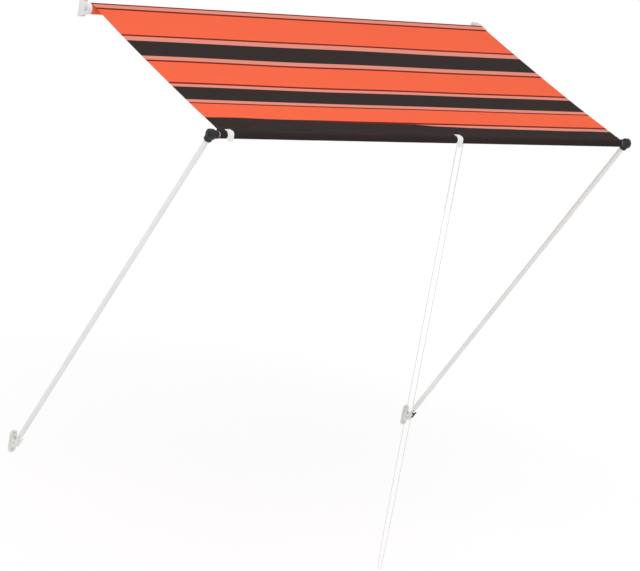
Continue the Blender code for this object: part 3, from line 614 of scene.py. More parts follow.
@dataclass
class ClothLine:
    """The section of the cloth: over the roll, down to the bar and round it to the seam."""

    roll_radius: float = 0.0232
    bar_radius: float = 0.0141
    sag: float = 0.009
    wrap: float = 0.030
    seam_back: float = 0.020
    seam_width: float = 0.012
    layer: float = 0.0010
    roll_steps: int = 12
    free_steps: int = 90
    bar_steps: int = 40
    back_steps: int = 8
    seam_steps: int = 4
    facing_step: float = 0.0015
    bend_share: float = 0.96

    def __post_init__(self) -> None:
        """Work out the line's points and how far along each lies."""
        self.roll_axis, self.bar_axis = middle_of("roller_tube"), middle_of("bar_tube")
        self.roll_axis.x = self.bar_axis.x = 0.0
        run = self.bar_axis - self.roll_axis
        along = run.normalized()
        upward = Vector((0.0, along.z, -along.y))
        lift = (self.roll_radius - self.bar_radius) / run.length
        normal = (upward * math.sqrt(1 - lift * lift) + along * lift).normalized()
        start = self.roll_axis + normal * self.roll_radius
        end = self.bar_axis + normal * self.bar_radius
        self.drawn = (end - start).length
        self.top = math.atan2(normal.z, normal.y)
        self.points = self.trace(start, end, normal)
        steps = ((after - before).length for before, after in pairwise(self.points))
        self.stations = [total - self.wrap for total in accumulate(steps, initial=0.0)]
        self.first, self.last = self.stations[0], self.stations[-1]
        self.length = self.last - self.first

    def trace(self, start: Vector, end: Vector, normal: Vector) -> list[Vector]:
        """Lay the points down, from the edge on the roll to the seam's free edge.

        Args:
            start: Where the cloth leaves the roll.
            end: Where it meets the bar.
            normal: Which way it faces between the two.

        Returns:
            The points.
        """
        along = (end - start).normalized()
        points = []
        for t in shares(self.roll_steps)[:-1]:
            angle = self.top - self.wrap * (1 - t) / self.roll_radius
            points.append(round_axis(self.roll_axis, self.roll_radius, angle))
        for t in shares(self.free_steps):
            drop = normal * (4 * self.sag * t * (1 - t))
            points.append(start + along * (self.drawn * t) - drop)
        seam = end - along * self.seam_back - normal * self.layer
        away = seam - self.bar_axis
        touch = math.atan2(away.z, away.y) - math.acos(self.bar_radius / away.length) + math.tau
        for t in shares(self.bar_steps, 1):
            angle = self.top + (touch - self.top) * t
            points.append(round_axis(self.bar_axis, self.bar_radius, angle))
        last = points[-1]
        points += [last.lerp(seam, t) for t in shares(self.back_steps, 1)]
        return points + [seam - along * (self.seam_width * t) for t in shares(self.seam_steps, 1)]

    def place(self, distance: float) -> Vector:
        """Find the line's point at a distance along it.

        Args:
            distance: How far along the cloth, from where it leaves the roll.

        Returns:
            The point, in the plane across X.
        """
        low = max(0, min(bisect_right(self.stations, distance) - 1, len(self.stations) - 2))
        start, end = self.stations[low], self.stations[low + 1]
        return self.points[low].lerp(self.points[low + 1], (distance - start) / (end - start))

    def facing(self, distance: float) -> Vector:
        """Find the line's outward normal at a distance along it.

        Args:
            distance: How far along the cloth.

        Returns:
            The normal, in the plane across X.
        """
        ahead = self.place(min(distance + self.facing_step, self.last))
        behind = self.place(max(distance - self.facing_step, self.first))
        run = (ahead - behind).normalized()
        return Vector((0.0, run.z, -run.y))

    def spot(self, x: float, distance: float, height: float) -> Vector:
        """A point across the cloth, along it and off its line."""
        return self.place(distance) + self.facing(distance) * height + Vector((x, 0, 0))

    def bend(self, piece: Object) -> None:
        """Bake a piece of the cloth into place; the stretch over which it would turn from the frame to
        the arms is found but not used.
        """
        start, end = self.place(0.0), self.place(self.drawn * self.bend_share)
        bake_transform(piece)


@dataclass
class Canopy:
    """The drawn-out cloth with its sewn pocket round the front bar."""

    line: ClothLine
    width: float = 2.000
    thickness: float = 0.0008
    columns: int = 150
    roll_rows: int = 10
    free_rows: int = 96
    pocket_rows: int = 52
    notches: tuple[Point, ...] = ((-0.955, 0.029), (0.130, 0.029))
    notch_back: float = 0.019
    notch_least: float = 0.04
    notch_step: float = 0.0005
    drape: float = 0.0030
    drape_waves: Spot = (1.7, 1.9, 3.0)
    pucker: float = 0.0022
    pucker_waves: tuple[Spot, ...] = ((9.0, 0.6, 7.0), (27.0, 1.1, 11.0))
    fine_pucker: float = 0.5
    pocket_pucker: float = 0.22
    gather: float = 0.10
    gather_edge: float = 0.02
    corner: Point = (-0.86, 0.07)
    corner_size: Point = (0.10, 0.05)
    corner_lift: float = 0.004

    def rows(self) -> list[float]:
        """Find the distances along the cloth at which it has a row of vertices.

        Returns:
            Distances from its edge on the roll to the seam's free edge.
        """
        line = self.line
        rows = [line.first + line.wrap * t for t in shares(self.roll_rows)[:-1]]
        rows += [line.drawn * t for t in shares(self.free_rows)]
        rows += [line.drawn + (line.last - line.drawn) * t for t in shares(self.pocket_rows, 1)]
        return snap(rows, self.notch_span())

    def notch_span(self) -> Point:
        """Find where a notch starts and ends along the cloth.

        Returns:
            Both distances along the cloth.
        """
        line = self.line
        start = line.drawn - self.notch_back
        edge = line.bar_axis.y + self.notch_back
        distance = start + self.notch_least
        while line.place(distance).y < edge and distance < line.last:
            distance += self.notch_step
        return start, min(distance, line.last)

    def notch_edges(self) -> list[float]:
        """The places across the cloth where a notch starts or ends."""
        return [centre + width * side for centre, width in self.notches for side in (-0.5, 0.5)]

    def notched(self, x: float, margin: float = 0.0) -> bool:
        """Whether a place across the cloth is within a margin of a notch."""
        return any(abs(x - centre) < width / 2 + margin for centre, width in self.notches)

    def ripple(self, x: float, distance: float) -> float:
        """Find how far the cloth stands off its line: a broad drape and puckers near the pocket.

        Args:
            x: The place across the cloth.
            distance: The place along it.

        Returns:
            The height over the line.
        """
        if distance <= 0.0:
            return 0.0
        share = min(distance / self.line.drawn, 1.0)
        coarse, fine = (noise.noise(Vector((x * across, along * share, layer)))
                        for across, along, layer in self.pucker_waves)
        pucker = self.pucker * (coarse + self.fine_pucker * fine)
        back = self.line.drawn - distance
        if back <= 0.0:
            return abs(pucker * self.pocket_pucker)
        across, along, layer = self.drape_waves
        broad = noise.noise(Vector((x * across, distance * along, layer)))
        drape = self.drape * math.sin(math.pi * share) * broad
        gather = bell(back, self.gather) * min(1.0, back / self.gather_edge)
        corner = bell(x - self.corner[0], self.corner_size[0])
        corner *= bell(back - self.corner[1], self.corner_size[1])
        return drape + pucker * gather + self.corner_lift * corner

    def build(self, material: Material) -> Object:
        """Make the cloth as one curved sheet.

        Args:
            material: The cloth's finish.

        Returns:
            The piece.
        """
        line = self.line
        rows = self.rows()
        columns = snap([self.width * (t - 0.5) for t in shares(self.columns)], self.notch_edges())
        bm = bmesh.new()
        bmesh.ops.create_grid(bm, x_segments=len(columns) - 1, y_segments=len(rows) - 1, size=0.5)
        for vert in bm.verts:
            column = round((vert.co.x + 0.5) * (len(columns) - 1))
            row = round((vert.co.y + 0.5) * (len(rows) - 1))
            vert.co = (columns[column], rows[row], 0.0)
        self.cut_notches(bm)
        thicken(bm, self.thickness)
        unwrap(bm, lambda at: (at.x / self.width + 0.5, (at.y - line.first) / line.length))
        for vert in bm.verts:
            x, distance, height = vert.co
            vert.co = line.spot(x, distance, height + self.ripple(x, distance))
        bmesh.ops.recalc_face_normals(bm, faces=bm.faces)
        piece = to_object(bm, "canopy", material, smooth=60.0)
        line.bend(piece)
        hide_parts("fabric_sheet")
        return piece

    def cut_notches(self, bm: BMesh) -> None:
        """Leave the notches out of the flat cloth.

        Args:
            bm: The flat cloth.
        """
        start, end = self.notch_span()
        middles = {face: face.calc_center_median() for face in bm.faces}
        gone = [face for face, at in middles.items() if start < at.y < end and self.notched(at.x)]
        bmesh.ops.delete(bm, geom=gone, context="FACES")


@dataclass
class Stitching:
    """Two rows of thread that close the pocket."""

    canopy: Canopy
    pitch: float = 0.0042
    length: float = 0.0030
    radius: float = 0.00035
    flatness: float = 1.4
    end_space: float = 0.006
    rows_back: tuple[float, ...] = (0.0225, 0.0295)

    def build(self, material: Material) -> Object:
        """Make the stitches.

        Args:
            material: The thread's finish.

        Returns:
            The piece.
        """
        canopy, line = self.canopy, self.canopy.line
        half = canopy.width / 2 - self.end_space
        count = int(2 * half / self.pitch)
        places = []
        for back in self.rows_back:
            distance = line.drawn - back
            normal = line.facing(distance)
            tilt = Matrix.Rotation(-math.atan2(normal.y, normal.z), 4, "X")
            for x in (-half + self.pitch * (i + 0.5) for i in range(count)):
                if not canopy.notched(x, self.length):
                    height = canopy.thickness / 2 + canopy.ripple(x, distance)
                    places.append(Matrix.Translation(line.spot(x, distance, height)) @ tilt)
        stitch = bmesh.new()
        size = Matrix.Diagonal((self.length / 2, self.radius * self.flatness, self.radius, 1.0))
        bmesh.ops.create_icosphere(stitch, subdivisions=1, radius=1.0, matrix=size)
        piece = to_object(repeat(((stitch, places),)), "pocket_stitches", material, smooth=80.0)
        line.bend(piece)
        return piece


@dataclass
class ClipStrap:
    """A white strap in one notch, from under the cloth down over the clip, with two rivets."""

    canopy: Canopy
    label: str
    centre: float
    notch: float
    tail: float
    thickness: float = 0.0010
    side_space: float = 0.0012
    tuck: float = 0.010
    over_clip: float = 0.0009
    under_cloth: float = -0.0011
    corner: float = 0.006
    columns: int = 8
    rows: int = 90
    rivet_radius: float = 0.0018
    rivet_flatness: float = 0.45
    rivets_past: tuple[float, ...] = (0.003, 0.030)

    def offset(self, distance: float) -> float:
        """Find how far the strap's middle stands off the cloth's line.

        Args:
            distance: How far along, in the cloth line's own measure.

        Returns:
            The height, below 0 under the cloth.
        """
        back = self.canopy.notch_back
        share = min(1.0, max(0.0, (distance - self.canopy.line.drawn + back) / back))
        share = share * share * (3 - 2 * share)
        return self.under_cloth + (self.over_clip - self.under_cloth) * share

    def front(self) -> float:
        """How far along the cloth's line lies the bar's foremost point."""
        line = self.canopy.line
        return line.drawn + line.bar_radius * (math.pi - line.top)

    def at(self, distance: float) -> tuple[Vector, Vector]:
        """Find the strap's point and normal: along the cloth, then straight down past the bar.

        Args:
            distance: How far along, in the cloth line's own measure.

        Returns:
            The point and the outward normal.
        """
        line, front = self.canopy.line, self.front()
        if distance <= front:
            return line.place(distance), line.facing(distance)
        return line.place(front) + Vector((0.0, 0.0, front - distance)), Vector((0.0, -1.0, 0.0))

    def spot(self, x: float, distance: float, height: float) -> Vector:
        """A point across the strap, along it and off its middle."""
        point, normal = self.at(distance)
        return point + normal * (self.offset(distance) + height) + Vector((self.centre + x, 0, 0))

    def build(self, white: Material, grey: Material) -> list[Object]:
        """Make the strap and its rivets.

        Args:
            white: The strap's finish.
            grey: The rivets' finish.

        Returns:
            Both pieces.
        """
        line = self.canopy.line
        first = line.drawn - self.canopy.notch_back - self.tuck
        last = self.front() + line.bar_radius + self.tail
        half = self.notch / 2 - self.side_space
        bm = bmesh.new()
        bmesh.ops.create_grid(bm, x_segments=self.columns, y_segments=self.rows, size=0.5)
        thicken(bm, self.thickness)
        for vert in bm.verts:
            x, share, height = vert.co
            distance = first + (last - first) * (share + 0.5)
            short = self.corner - min(self.corner, last - distance)
            side = half - self.corner + math.sqrt(self.corner ** 2 - short ** 2)
            vert.co = self.spot(x * 2 * side, distance, height)
        bmesh.ops.recalc_face_normals(bm, faces=bm.faces)
        strap = to_object(bm, f"clip_strap_{self.label}", white, smooth=50.0)
        rivets = bmesh.new()
        for distance in (line.drawn + past for past in self.rivets_past):
            place = stand(self.spot(0.0, distance, self.thickness / 2), self.at(distance)[1])
            bmesh.ops.create_uvsphere(
                rivets, u_segments=16, v_segments=10, radius=self.rivet_radius,
                matrix=place @ Matrix.Diagonal((1.0, 1.0, self.rivet_flatness, 1.0)),
            )
        studs = to_object(rivets, f"strap_rivets_{self.label}", grey, smooth=60.0)
        for piece, slot in ((strap, "plastic_white"), (studs, "zinc_steel")):
            line.bend(piece)
        return [strap, studs]


@dataclass
class PocketLining:
    """The inner layer of the pocket, close round the bar and open at the clips."""

    canopy: Canopy
    radius: float = 0.0132
    first_angle: float = 40.0
    last_angle: float = 318.0
    steps: int = 40

    def build(self, material: Material) -> Object:
        """Make the lining in one stretch for each length between the clips.

        Args:
            material: The dark cloth's finish.

        Returns:
            The piece.
        """
        width = self.canopy.width
        cuts = [-width / 2, *self.canopy.notch_edges(), width / 2]
        bm = bmesh.new()
        first = math.radians(self.first_angle)
        span = math.radians(self.last_angle - self.first_angle)
        for low, high in zip(cuts[::2], cuts[1::2]):
            axis = self.canopy.line.bar_axis + Vector((low, 0, 0))
            ring = [bm.verts.new(round_axis(axis, self.radius, first + span * t))
                    for t in shares(self.steps)]
            edges = [bm.edges.new(pair) for pair in pairwise(ring)]
            grown = bmesh.ops.extrude_edge_only(bm, edges=edges)["geom"]
            moved = [item for item in grown if isinstance(item, BMVert)]
            bmesh.ops.translate(bm, vec=(high - low, 0, 0), verts=moved)
        bmesh.ops.recalc_face_normals(bm, faces=bm.faces)
        bmesh.ops.solidify(bm, geom=bm.faces[:], thickness=self.canopy.thickness)
        bmesh.ops.recalc_face_normals(bm, faces=bm.faces)
        piece = to_object(bm, "pocket_lining", material, smooth=50.0)
        seat(piece, Body.FRONT_BAR, "front_sleeve")
        return piece


@dataclass
class WoundCloth:
    """The turns of cloth on the roller tube, as one spiral strip."""

    canopy: Canopy
    inner_radius: float = 0.0180
    outer_radius: float = 0.0221
    pitch: float = 0.00092
    thickness: float = 0.0007
    steps_per_turn: int = 40
    lengths: int = 6
    orange_at: float = 0.10
    map_span: float = 0.02

    def build(self, material: Material) -> Object:
        """Make the wound turns.

        Args:
            material: The cloth's finish.

        Returns:
            The piece.
        """
        line, width = self.canopy.line, self.canopy.width
        turns = (self.outer_radius - self.inner_radius) / self.pitch
        count = int(turns * self.steps_per_turn)
        bm = bmesh.new()
        bmesh.ops.create_grid(bm, x_segments=self.lengths, y_segments=count, size=0.5)
        thicken(bm, self.thickness)
        orange = (self.orange_at - line.first) / line.length
        unwrap(bm, lambda at: (at.x + 0.5, orange + self.map_span * at.y))
        for vert in bm.verts:
            x, share, height = vert.co
            turn = (share + 0.5) * turns
            radius = self.outer_radius - self.pitch * turn + height
            spot = round_axis(line.roll_axis, radius, line.top - math.tau * turn)
            vert.co = (x * width, spot.y, spot.z)
        bmesh.ops.recalc_face_normals(bm, faces=bm.faces)
        piece = to_object(bm, "wound_cloth", material, smooth=50.0)
        seat(piece, Body.ROLLER, "fabric_roll")
        return piece


# The bead chain


@dataclass
class BeadChain:
    """The endless chain: the hanging loop and the stretch over the wheel."""

    diameter: float = 0.0045
    pitch: float = 0.00619
    string: float = 0.0016
    wheel_radius: float = 0.0197
    wheel_drop: float = 0.009
    wheel_steps: int = 20
    route: tuple[Point, ...] = (
        (0.0197, 0.012), (0.0197, 0.060), (0.0196, 0.300), (0.0195, 0.700), (0.0194, 1.100),
        (0.0192, 1.500), (0.0188, 1.900), (0.0180, 2.200), (0.0168, 2.380), (0.0150, 2.480),
        (0.0128, 2.535), (0.0104, 2.562), (0.0068, 2.576), (0.0, 2.580),
    )

    def __post_init__(self) -> None:
        """Find the wheel's axis."""
        self.axis = middle_of("chain_on_wheel")
        self.axis.z = 0.0

    def hanging_line(self) -> list[Vector]:
        """Work out the loop's centre line, from the wheel's front down and up to its back.

        Returns:
            Points about a pitch apart.
        """
        down = [self.axis + Vector((0, -out, -drop)) for out, drop in self.route]
        up = [self.axis + Vector((0, out, -drop)) for out, drop in self.route[-2::-1]]
        points = down + up
        ahead = [*points[2:], points[-1]]
        line = []
        for before, start, end, after in zip([points[0], *points], points, points[1:], ahead):
            steps = max(3, math.ceil((end - start).length / self.pitch))
            for t in shares(steps)[:-1]:
                line.append(0.5 * (
                    2 * start + (end - before) * t
                    + (2 * before - 5 * start + 4 * end - after) * t * t
                    + (3 * start - before - 3 * end + after) * t * t * t
                ))
        return [*line, points[-1]]

    def wheel_line(self) -> list[Vector]:
        """Work out the centre line over the wheel.

        Returns:
            Points from its front to its back.
        """
        arc = [round_axis(self.axis, self.wheel_radius, math.pi * (1 - t))
               for t in shares(self.wheel_steps)]
        front, back = (self.axis + Vector((0, out, -self.wheel_drop))
                       for out in (-self.wheel_radius, self.wheel_radius))
        return [front, *arc, back]

    def beads_on(self, line: list[Vector], name: str, material: Material) -> Object:
        """Thread beads on a string along a line.

        Args:
            line: The centre line.
            name: The piece's name.
            material: The beads' finish.

        Returns:
            The piece.
        """
        total = run_length(line)
        step = total / int(total / self.pitch)
        target = step / 2
        gone = 0.0
        beads, links = [], []
        for start, end in pairwise(line):
            length = (end - start).length
            if length < MERGE:
                continue
            size = Matrix.Diagonal((1.0, 1.0, length, 1.0))
            links.append(stand((start + end) / 2, end - start) @ size)
            while target <= gone + length:
                spot = start.lerp(end, (target - gone) / length)
                beads.append(stand(spot, end - start))
                target += step
            gone += length
        bead, link = bmesh.new(), bmesh.new()
        bmesh.ops.create_uvsphere(bead, u_segments=8, v_segments=6, radius=self.diameter / 2)
        bmesh.ops.create_cone(
            link, cap_ends=True, segments=5, radius1=self.string / 2, radius2=self.string / 2,
            depth=1.0,
        )
        return to_object(repeat(((bead, beads), (link, links))), name, material, smooth=60.0)

    def build(self, material: Material) -> list[Object]:
        """Make both stretches of the chain.

        Args:
            material: The beads' finish.

        Returns:
            Both pieces.
        """
        line = self.hanging_line()
        loop = self.beads_on(line, "bead_chain_loop", material)
        seat(loop, Body.FRAME, "bead_chain")
        over = self.beads_on(self.wheel_line(), "chain_over_wheel", material)
        return [loop, seat(over, Body.FRAME, "chain_on_wheel")]


# Arms and screws


@dataclass
class ArmPiece:
    """Where one arm stands: from its foot's pin up to the front bar."""

    side: Side

    def __post_init__(self) -> None:
        """Find the arm's foot, its lean and the front bar's axis."""
        self.body = Body(f"arm_{self.side.value}")
        self.tube = f"arm_tube_{self.side.value}"
        self.bar = middle_of("bar_tube")
        pin = middle_of(f"foot_pin_{self.side.value}")
        self.foot = Vector((middle_of(self.tube).x, pin.y, pin.z))
        self.lean = Vector((0.0, self.bar.y - pin.y, self.bar.z - pin.z)).normalized()


@dataclass
class ArmTube(ArmPiece):
    """One arm's painted tube."""

    wall: float = 0.0012
    edge: float = 0.0004
    steps: int = 64

    def build(self, material: Material) -> Object:
        """Make the tube along the line from the foot's pin to the bar.

        Args:
            material: The paint.

        Returns:
            The piece.
        """
        low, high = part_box(self.tube)
        radius = (high.x - low.x) / 2
        reach = radius * abs(self.lean.y)
        start = (low.z + reach - self.foot.z) / self.lean.z
        end = (high.z - reach - self.foot.z) / self.lean.z
        inner, outer = radius - self.wall, radius - self.edge
        profile = [
            (radius, end - self.edge), (radius, start + self.edge),
            (outer, start), (inner, start), (inner, end), (outer, end),
        ]
        bm = bmesh.new()
        spin_profile(bm, profile, self.steps, stand(self.foot, self.lean))
        piece = to_object(bm, f"painted_arm_{self.side.value}", material)
        return seat(piece, self.body, self.tube)


@dataclass
class Knuckle(ArmPiece):
    """The black head at an arm's upper end, with the socket that holds the tube."""

    radius: float = 0.021
    width: float = 0.0232
    edge: float = 0.004
    edge_steps: int = 6
    bore: float = 0.0063
    bore_edge: float = 0.0004
    groove: float = 0.0008
    groove_in: Point = (0.0035, 0.0045)
    groove_out: Point = (0.0065, 0.0055)
    steps: int = 72
    neck_steps: int = 56
    neck: tuple[Point, ...] = (
        (0.0113, 0.0160), (0.0150, 0.0166), (0.0162, 0.0178), (0.0162, 0.0262),
        (0.0155, 0.0274), (0.0135, 0.0278), (0.0113, 0.0272),
    )

    def face(self) -> list[Point]:
        """Draw one half of the head's section, from its bore over its grooved face to its rim.

        Returns:
            Points of (radius, height).
        """
        half, edge, bore = self.width / 2, self.edge, self.bore
        inside, outside = (bore + out for out in self.groove_in)
        far, near = (self.radius - back for back in self.groove_out)
        dish = [(inside, half), (outside, half - self.groove), (far, half - self.groove), (near, half)]
        turns = [math.pi / 2 * t for t in shares(self.edge_steps)]
        rim = [(self.radius - edge + edge * math.sin(a), half - edge + edge * math.cos(a))
               for a in turns]
        return [(bore, half - self.bore_edge), (bore + self.bore_edge, half), *dish, *rim]

    def build(self, material: Material) -> Object:
        """Make the head with a grooved face round its bore, and its neck.

        Args:
            material: The plastic.

        Returns:
            The piece.
        """
        node = f"knuckle_{self.side.value}"
        centre = Vector((middle_of(node).x, self.bar.y, self.bar.z))
        front = self.face()
        profile = [(radius, -height) for radius, height in front] + front[::-1]
        bm = bmesh.new()
        across = Matrix.Translation(centre) @ Matrix.Rotation(math.pi / 2, 4, "Y")
        spin_profile(bm, profile, self.steps, across)
        spin_profile(bm, self.neck, self.neck_steps, stand(centre, -self.lean))
        piece = to_object(bm, f"arm_head_{self.side.value}", material)
        return seat(piece, self.body, node)


@dataclass
class ArmCatch(ArmPiece):
    """The slim white catch beside the left arm's neck."""

    node: str = "arm_catch_left"
    edge: float = 0.0012
    strip: Point = (0.0040, 0.040)
    strip_middle: Spot = (0.0, -0.0190, 0.038)
    stem: Point = (0.0100, 0.008)
    stem_middle: Spot = (0.0, -0.0125, 0.038)

    def build(self, material: Material) -> Object:
        """Make the catch from the node's own width.

        Args:
            material: The paint.

        Returns:
            The piece.
        """
        low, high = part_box(self.node)
        width = high.x - low.x
        bm = bmesh.new()
        for size, middle in (
            ((width, *self.strip), self.strip_middle), ((width / 2, *self.stem), self.stem_middle),
        ):
            block = bmesh.ops.create_cube(bm, size=1.0)["verts"]
            bmesh.ops.scale(bm, vec=size, verts=block)
            bmesh.ops.translate(bm, vec=middle, verts=block)
        bmesh.ops.bevel(
            bm, geom=bm.edges[:], offset=self.edge, segments=3, affect="EDGES", profile=0.5,
            material=-1, clamp_overlap=True,
        )
        back = Vector((0.0, self.lean.z, -self.lean.y))
        turn = Matrix((Vector((1, 0, 0)), back, self.lean)).transposed().to_4x4()
        bmesh.ops.transform(bm, matrix=Matrix.Translation(self.foot) @ turn, verts=bm.verts)
        bmesh.ops.recalc_face_normals(bm, faces=bm.faces)
        return seat(to_object(bm, "white_catch_left", material), self.body, self.node)


@dataclass
class CrossScrew:
    """A pan-head wall screw with a cross recess."""

    node: str
    head: float = 0.0026
    flat_side: float = 0.35
    crown_steps: int = 8
    steps: int = 32
    shank: float = 0.0027
    recess_depth: float = 1.1
    recess_reach: float = 1.24
    recess_width: float = 0.3

    def build(self, material: Material) -> Object:
        """Make the screw.

        Args:
            material: The plating.

        Returns:
            The piece.
        """
        low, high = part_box(self.node)
        middle = (low + high) / 2
        radius = (high.x - low.x) / 2
        tip = self.head + low.y - high.y
        place = stand(Vector((middle.x, low.y + self.head, middle.z)), Vector((0, -1, 0)), side="Y")
        side, dome = self.flat_side, 1 - self.flat_side
        crown = [(radius * math.sin(a), self.head * (side + dome * math.cos(a)))
                 for a in (math.pi / 2 * t for t in shares(self.crown_steps))]
        profile = [*crown, (radius, 0.0), (self.shank, 0.0), (self.shank, tip), (0.0, tip)]
        bm = bmesh.new()
        spin_profile(bm, profile, self.steps, place)
        screw = to_object(bm, f"{self.node}_head", material, smooth=35.0)
        blades = bmesh.new()
        reach, width = radius * self.recess_reach, radius * self.recess_width
        for size in ((reach, width), (width, reach)):
            cut = Matrix.Diagonal((*size, self.head * self.recess_depth, 1.0))
            cut = place @ Matrix.Translation((0, 0, self.head)) @ cut
            bmesh.ops.create_cube(blades, size=1.0, matrix=cut)
        self.recess(screw, to_object(blades, f"{self.node}_recess", material))
        return seat(screw, Body.FRAME, self.node)

    def recess(self, screw: Object, cutter: Object) -> None:
        """Sink the cross into the head.

        Args:
            screw: The plain screw.
            cutter: The crossed blades, which are removed.
        """
        boolean = screw.modifiers.new("Recess", "BOOLEAN")
        boolean.operation = "DIFFERENCE"
        boolean.use_self = True
        boolean.object = cutter
        bpy.context.view_layer.update()
        graph = bpy.context.evaluated_depsgraph_get()
        mesh = bpy.data.meshes.new_from_object(screw.evaluated_get(graph))
        screw.modifiers.clear()
        screw.data = mesh
        bpy.data.objects.remove(cutter, do_unlink=True)


# Studio


@dataclass
class Studio:
    """The floor, the lights and the camera."""

    position: Spot = (-5.8496, -7.9501, 1.5286)
    yaw: float = math.radians(38.214)
    pitch: float = math.radians(15.016)
    roll: float = math.radians(10.107)
    focal_pixels: float = 2375.0
    frame_width: float = 640.0
    sensor: float = 36.0
    far_end: float = 100.0
    light_place: Spot = (-3.2, -5.0, 4.2)
    light_aim: Spot = (0.0, -0.5, -0.6)
    light_size: Point = (4.0, 3.0)
    light_energy: float = 110.0
    sky: float = 0.84
    floor_colour: Colour = (0.82, 0.82, 0.82)
    floor_drop: float = 0.12
    floor_radius: float = 9.0
    floor_steps: int = 96
    glow_reach: Point = (4.5, 7.5)
    floor_glow: Point = (0.278, 0.378)

    def camera(self) -> None:
        """Stand the camera where the photograph was taken."""
        right = Vector((math.cos(self.yaw), -math.sin(self.yaw), 0.0))
        forward = Vector((
            math.sin(self.yaw) * math.cos(self.pitch),
            math.cos(self.yaw) * math.cos(self.pitch),
            -math.sin(self.pitch),
        ))
        upward = right.cross(forward)
        axis_x = right * math.cos(self.roll) + upward * math.sin(self.roll)
        axis_y = upward * math.cos(self.roll) - right * math.sin(self.roll)
        turn = Matrix((axis_x, axis_y, -forward)).transposed().to_4x4()
        data = bpy.data.cameras.new("camera")
        data.sensor_width = self.sensor
        data.lens = self.focal_pixels * self.sensor / self.frame_width
        data.clip_end = self.far_end
        camera = bpy.data.objects.new("camera", data)
        camera.matrix_world = Matrix.Translation(self.position) @ turn
        bpy.context.scene.collection.objects.link(camera)
        bpy.context.scene.camera = camera

    def light(self) -> None:
        """Hang one broad soft light."""
        data = bpy.data.lights.new("soft light", "AREA")
        data.shape = "RECTANGLE"
        data.size, data.size_y = self.light_size
        data.energy = self.light_energy
        light = bpy.data.objects.new("soft light", data)
        place = Vector(self.light_place)
        light.matrix_world = stand(place, Vector(self.light_aim) - place, "-Z", "Y")
        bpy.context.scene.collection.objects.link(light)

    def room(self) -> None:
        """Give the room an even glow, and a white look where it is seen."""
        world = bpy.data.worlds.new("studio")
        bpy.context.scene.world = world
        world.use_nodes = True
        wiring, nodes = Wiring(world.node_tree), world.node_tree.nodes
        glow, white = nodes["Background"], wiring.add("Background")
        wiring.feed(glow, {"Color": (*WHITE, 1.0), "Strength": self.sky})
        wiring.feed(white, {"Color": (*WHITE, 1.0), "Strength": 1.0})
        inputs = {0: self.seen_rays(wiring), 1: glow.outputs[0], 2: white.outputs[0]}
        wiring.feed(nodes["World Output"], {"Surface": wiring.add("MixShader", inputs).outputs[0]})

    def seen_rays(self, wiring: Wiring) -> NodeSocket:
        """Find the rays that show the backdrop: straight, mirrored and seen through.

        Args:
            wiring: The nodes of the floor or the room.

        Returns:
            One for such a ray and zero for others.
        """
        path = wiring.add("LightPath").outputs
        first = wiring.math("MAXIMUM", path["Is Camera Ray"], path["Is Glossy Ray"])
        return wiring.math("MAXIMUM", first, path["Is Transmission Ray"])

    def floor(self) -> None:
        """Lay a pale floor that keeps a faint shadow."""
        height = CAD_BOUNDS[0][2] - self.floor_drop
        bm = bmesh.new()
        bmesh.ops.create_circle(bm, cap_ends=True, segments=self.floor_steps, radius=self.floor_radius)
        bmesh.ops.translate(bm, vec=(0.0, 0.0, height), verts=bm.verts)
        material, wiring, shader = new_material("pale floor", self.floor_colour)
        place = wiring.add("TexCoord").outputs["Object"]
        reach = wiring.add("VectorMath", {0: place}, operation="LENGTH").outputs["Value"]
        near, far = self.glow_reach
        low, high = self.floor_glow
        glow = wiring.add("MapRange", {
            "Value": reach, "From Min": near, "From Max": far, "To Min": low, "To Max": high,
        }).outputs[0]
        wiring.feed(shader, {
            "Base Color": (*self.floor_colour, 1.0),
            "Roughness": 0.9,
            "Specular IOR Level": 0.0,
            "Emission Color": (*WHITE, 1.0),
            "Emission Strength": wiring.math("MULTIPLY", self.seen_rays(wiring), glow),
        })
        to_object(bm, "floor", material)


# The whole awning


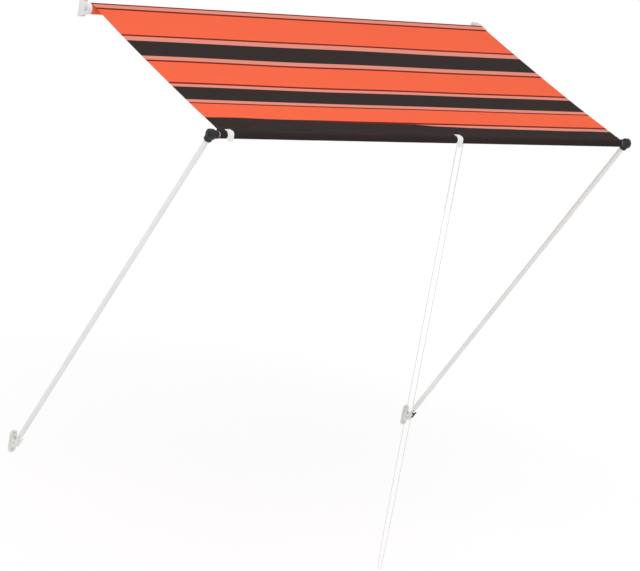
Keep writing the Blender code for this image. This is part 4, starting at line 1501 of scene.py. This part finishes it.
@dataclass
class Awning:
    """Builds and dresses every piece of the awning."""

    groups: Groups
    tails: tuple[tuple[str, float], ...] = (("left", 0.007), ("middle", 0.013))

    def build(self) -> list[Object]:
        """Build and dress the awning.

        Returns:
            Every piece that the scene adds, and every CAD node that stays.
        """
        line = ClothLine()
        coats: Coats = {finish: finish.value.build(self.groups) for finish in Finish}
        pieces = BeadChain().build(coats[Finish.BEAD_PLASTIC])
        canopy = Canopy(line)
        cloth = ClothFinish(line.first, line.length, canopy.width).build(self.groups)
        pieces += [canopy.build(cloth), Stitching(canopy).build(coats[Finish.THREAD])]
        for (label, tail), (centre, width) in zip(self.tails, canopy.notches):
            strap = ClipStrap(canopy, label, centre, width, tail)
            pieces += strap.build(coats[Finish.WHITE_PLASTIC], coats[Finish.ZINC])
        pieces.append(PocketLining(canopy).build(coats[Finish.DARK_CLOTH]))
        pieces.append(WoundCloth(canopy).build(cloth))
        for side in Side:
            pieces.append(ArmTube(side).build(coats[Finish.WHITE_PAINT]))
            pieces.append(Knuckle(side).build(coats[Finish.BLACK_PLASTIC]))
        pieces.append(ArmCatch(Side.LEFT).build(coats[Finish.WHITE_PAINT]))
        for node in sorted(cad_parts):
            if node.startswith(("bracket_screw", "foot_screw")):
                pieces.append(CrossScrew(node).build(coats[Finish.ZINC]))
        return pieces + self.dress(coats)

    def dress(self, coats: Coats) -> list[Object]:
        """Give each CAD node that stays its finish and rounded edges.

        Args:
            coats: The material of each finish.

        Returns:
            The nodes' objects.
        """
        looks = {
            Finish.BRACKET_PAINT: ("bracket_left", "bracket_right", "foot_left", "foot_right"),
            Finish.WHITE_PAINT: ("bar_tube", "arm_rod_left", "arm_rod_right"),
            Finish.WHITE_PLASTIC: (
                "idle_plug", "chain_wheel", "clutch_housing", "clip_left", "clip_middle",
                "bar_washer_left", "bar_washer_right",
            ),
            Finish.BLACK_PLASTIC: (
                "bar_plug_left", "bar_plug_right", "pivot_screw_left", "pivot_screw_right",
                "arm_catch_right",
            ),
            Finish.ZINC: ("idle_pin", "clutch_spindle", "foot_pin_left", "foot_pin_right"),
            Finish.GALVANISED: ("roller_tube",),
        }
        for finish, nodes in looks.items():
            for node in nodes:
                round_off(node, coats[finish])
        return [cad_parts[node] for nodes in looks.values() for node in nodes]


def main() -> None:
    """Build the awning in its studio."""
    logging.basicConfig(level=logging.INFO)
    bpy.context.scene.view_settings.view_transform = "Standard"
    studio = Studio()
    studio.camera()
    studio.light()
    studio.room()
    studio.floor()
    for piece in Awning(Groups(grain_group(), weave_group())).build():
        LOG.info("%s is in place", piece.name)


if __name__ == "__main__":
    main()
